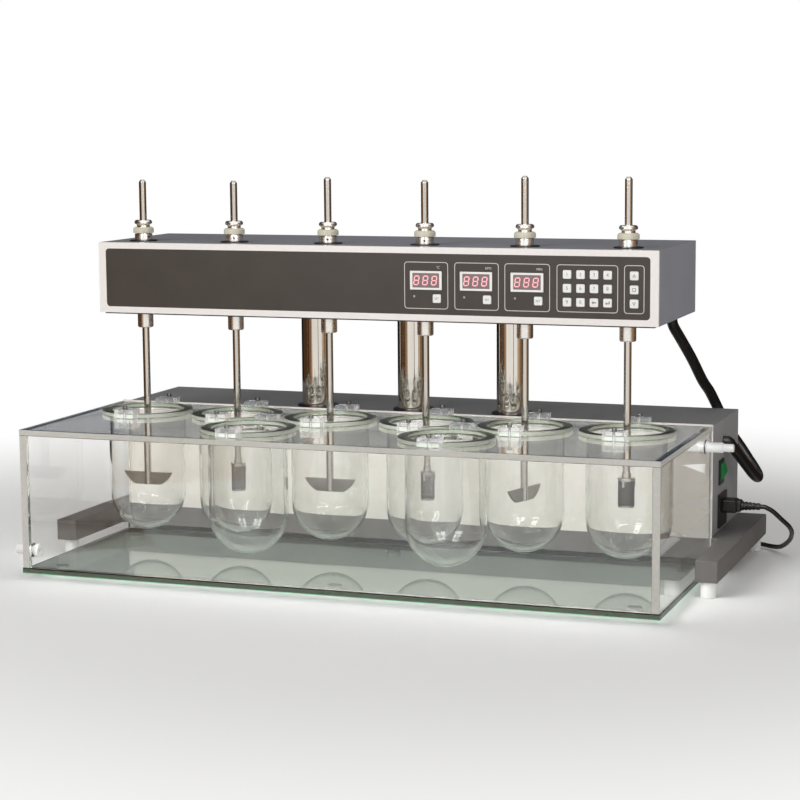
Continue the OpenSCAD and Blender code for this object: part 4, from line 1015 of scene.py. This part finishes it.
# Each set screw points its own way, in degrees round the spindle
SET_HOLES = [-28, -70, -72, -74, 60, 100]
for i, x in enumerate(ROW_X, 1):
    sleeve = turned("sleeve", sleeve_line, turned_steel, 72)
    hole = turned("hole", hole_line, black_acetal, 20, False)
    hole.transform(Matrix.Rotation(radians(SET_HOLES[i - 1]), 4, "Z") @ hole_place)
    body = "spindle_%d" % i
    piece(body + "_sleeve", moved(joined(body + "_sleeve", sleeve, hole), x, ROW_Y), body, "spindle_steel", body)
    piece(body + "_ring", moved(turned("ring", ring_line, ivory_nylon, 64), x, ROW_Y), body, "spindle_steel", body)
refinish("spindle_bearings", black_acetal)


# %% The wire basket, woven by Geometry Nodes
def basket_tree():
    tree, given = node_tree("wire_basket", Radius="Float", Height="Float", Wire="Float", Uprights="Int",
                            Hoops="Int", Finish="Material")
    count, radius = given["Uprights"], given["Radius"]
    top = put(tree, "ShaderNodeCombineXYZ", {"Z": given["Height"]})
    upright = put(tree, "GeometryNodeCurvePrimitiveLine", {"End": top})
    ring = put(tree, "GeometryNodeMeshCircle", {"Vertices": count, "Radius": radius})
    uprights = put(tree, "GeometryNodeInstanceOnPoints", {"Points": ring, "Instance": upright})
    hoop = put(tree, "GeometryNodeCurvePrimitiveCircle", {"Resolution": count, "Radius": radius}, mode="RADIUS")
    spots = put(tree, "GeometryNodeMeshLine", {"Count": given["Hoops"], "Offset": top}, mode="END_POINTS")
    hoops = put(tree, "GeometryNodeInstanceOnPoints", {"Points": spots, "Instance": hoop})
    both = put(tree, "GeometryNodeJoinGeometry")
    for strand in (uprights, hoops):
        tree.links.new(strand.outputs[0], both.inputs[0])
    section = put(tree, "GeometryNodeCurvePrimitiveCircle", {"Resolution": 4, "Radius": given["Wire"]},
                  mode="RADIUS")
    woven = put(tree, "GeometryNodeCurveToMesh", {"Curve": both, "Profile Curve": section})
    return ended(tree, woven, given["Finish"])


weave = basket_tree()
SHAFT_R, SHAFT_LOW, SHAFT_TOP = 5.0, 104.0, 537.0
BASKET_R, BASKET_H, WIRE_R, UPRIGHTS, HOOPS = 11.0, 37.0, 0.29, 46, 25
CAP_R, HUB_R, CLIP_TURN = 12.0, 6.4, 0.42


def wire_basket():
    # The real cloth has 40 wires an inch; 1.45 mm squares are as fine as the picture shows.
    return grown(linked("basket_wire", bpy.data.meshes.new("basket_wire")), weave, Radius=(BASKET_R - 0.4) * MM,
                 Height=(BASKET_H - 1.5) * MM, Wire=WIRE_R * MM, Uprights=UPRIGHTS, Hoops=HOOPS, Finish=wire_steel_painted_shade)


# %% Shafts: ground rods with a paddle or a basket
def rod(low):
    line = rounded([(0, low, 0), (SHAFT_R, low, 0.4), (SHAFT_R, SHAFT_TOP - 3.2, 0.8),
                    (SHAFT_R - 2.6, SHAFT_TOP, 0.8), (0, SHAFT_TOP, 0)], 3, False)
    return turned("rod", line, steel, 48, False)


PADDLE_R, PADDLE_HALF, PADDLE_H, PADDLE_T = 41.5, 37.25, 18.0, 4.0
drop = sqrt(PADDLE_R ** 2 - PADDLE_HALF ** 2)


# The blade is cut from a disc, between two chords
def paddle():
    foot = drop + PADDLE_H
    first, last = asin(drop / PADDLE_R), asin(foot / PADDLE_R)
    turns = [last + (first - last) * k / 10 for k in range(11)]
    side = [(PADDLE_R * cos(turn), foot - PADDLE_R * sin(turn)) for turn in turns]
    outline = side + [(-x, z) for x, z in side[::-1]]
    blade = plate("blade", [outline], PADDLE_T, 0.5, blasted_steel)
    return moved(blade, z=SHAFT_LOW, turn=STAND)


def basket():
    cap_top, hub_top = BASKET_H + 2.4, BASKET_H + 9.4
    disc = rounded([(0, BASKET_H, 0), (CAP_R, BASKET_H, 0.3), (CAP_R, cap_top, 0.7), (HUB_R, cap_top, 0.2),
                    (HUB_R, hub_top, 1.2), (SHAFT_R - 0.5, hub_top, 0)], 3, False)
    spigot = rounded([(0, BASKET_H - 8, 0), (3.2, BASKET_H - 8, 0.5), (3.2, BASKET_H, 0),
                      (0, BASKET_H, 0)], 3, False)
    band = rounded([(BASKET_R - 0.5, BASKET_H - 2.2, 0.1), (BASKET_R, BASKET_H - 2.2, 0.1),
                    (BASKET_R, BASKET_H, 0.1), (BASKET_R - 0.5, BASKET_H, 0.1)], 1)
    foot_ring = rounded([(10.2, 0, 0.2), (BASKET_R, 0, 0.3), (BASKET_R, 2.4, 0.2), (10.6, 2.4, 0.1)], 2)
    bottom = rounded([(0, 0.6, 0), (10.4, 0.6, 0), (10.4, 1.0, 0), (0, 1.0, 0)], 1, False)
    parts = [turned("disc", disc, steel, 48, False), turned("spigot", spigot, turned_steel, 32, False),
             turned("band", band, steel, 48), turned("foot_ring", foot_ring, steel, 48),
             turned("bottom", bottom, wire_steel_painted_shade, 48, False), moved(wire_basket(), z=0.8)]
    for k in range(3):
        clip = block("clip", (11.05, -1.7, BASKET_H - 10), (11.95, 1.7, BASKET_H + 1), 0.2, steel, 1)
        clip.transform(Matrix.Rotation(2 * pi * k / 3 + CLIP_TURN, 4, "Z"))
        parts.append(clip)
    return moved(joined("basket", *parts), z=SHAFT_LOW)


# Each shaft is set by hand, a little above or below the common height
SHAFT_SET = [-2.0, -3.0, 2.6, -1.0, 5.0, 4.4]
PADDLE_TURN = {5: 72}
for i, x in enumerate(ROW_X, 1):
    body = "shaft_%d" % i
    parts = [rod(SHAFT_LOW), paddle()] if i % 2 else [rod(SHAFT_LOW + BASKET_H), basket()]
    mesh = joined(body + "_dressed", *parts)
    mesh.transform(Matrix.Rotation(radians(PADDLE_TURN.get(i, 0)), 4, "Z"))
    piece(body + "_dressed", moved(mesh, x, ROW_Y, SHAFT_SET[i - 1]), body, "shaft_steel", body)
print("six shafts dressed")

# %% [markdown]
# ## Switch, inlet and the ends of the lead
# On the cabinet's right side a green lit rocker sits in a black frame, above a mains
# inlet with its connector. The lead's other end is a plug beside the coil.

# %% Rocker, inlet and switch frame
piece("rocker_cap", softened("power_rocker", 0.5, rocker_lens), "rocker", "rocker_plastic", "power_rocker")
piece("inlet_and_frame", softened("mains_inlet", 0.6, black_polymer), "base", "inlet_plastic", "mains_inlet")


# %% Connector with a ribbed relief, and the plug
def moulding(name, start, end, half_w, half_h, bevel, steps=4):
    # Start and end run along the lead, from the socket's face
    return block(name, (FACE + start, SOCKET_Y - half_w, SOCKET_Z - half_h),
                 (FACE + end, SOCKET_Y + half_w, SOCKET_Z + half_h), bevel, black_polymer, steps)


stages = [moulding("shell", -14.7, 1, 10.7, 7.7, 1.0, 2), moulding("grip", 0.1, 20, 12.5, 9, 2.5),
          moulding("neck", 18, GRIP_L, 9, 8, 2.5)]
RELIEF_IN, RELIEF_LOW, RELIEF_TOP = LEAD_D / 2 - 0.6, GRIP_L - 1, GRIP_L + RELIEF_L
ribs = [(RELIEF_IN, RELIEF_LOW, 0)]
for k in range(5):
    z, r = RELIEF_LOW + 5.2 * k, 6.4 - 0.42 * k
    ribs += [(r, z, 0.3), (r, z + 3.4, 0.3), (r - 1.1, z + 3.5, 0.1), (r - 1.1, z + 5.1, 0.1)]
ribs = ribs[:-2] + [(4.6, RELIEF_TOP, 0.5), (RELIEF_IN, RELIEF_TOP, 0)]
relief = moved(turned("relief", rounded(ribs, 2), black_polymer, 32), FACE, SOCKET_Y, SOCKET_Z, ALONG_X)
connector = joined("lead_connector", *stages, relief)
connector = piece("lead_connector", connector, "base", "black_rubber", "cord_ends")
PLUG_X, PLUG_Y, PLUG_L, PLUG_W, PLUG_H = COIL_X - COIL_TAIL, COIL_Y - COIL_R, 34.0, 30.0, 25.0
plug_body = block("plug_body", (PLUG_X - PLUG_L, PLUG_Y - PLUG_W / 2, COIL_TOP - PLUG_H / 2),
                  (PLUG_X, PLUG_Y + PLUG_W / 2, COIL_TOP + PLUG_H / 2), 4.0, black_polymer, 4)
PIN_L, PIN_IN, PIN_T, PIN_W = 18, 1, 0.8, 3.2
pins = []
for tilt, y, z in ((-30, -7.5, 0), (30, 7.5, 0), (0, 0, -8.3)):
    pin = block("pin", (-PLUG_L - PIN_L, y - PIN_T, z - PIN_W),
                (-PLUG_L + PIN_IN, y + PIN_T, z + PIN_W), 0.3, pin_metal)
    pin.transform(Matrix.Rotation(radians(tilt), 4, "X"))
    pins.append(moved(pin, PLUG_X, PLUG_Y, COIL_TOP))
plug = piece("lead_plug", joined("lead_plug", plug_body, *pins), "base", "black_rubber", "cord_ends")

# %% [markdown]
# ## Pieces that stay inside
# The motor, belt, pulley, lift drive and heater are hidden, so their CAD solids stay
# and only take a finish.

# %% Finishes of the inner CAD nodes
INNER = {"display_board": red_lens, "drive_motor": machine_coat, "drive_pulley": alloy, "drive_belt": black_vinyl,
         "lift_drive": machine_coat, "lift_rod": steel, "bath_heater": machine_coat}
for node, material in INNER.items():
    refinish(node, material)
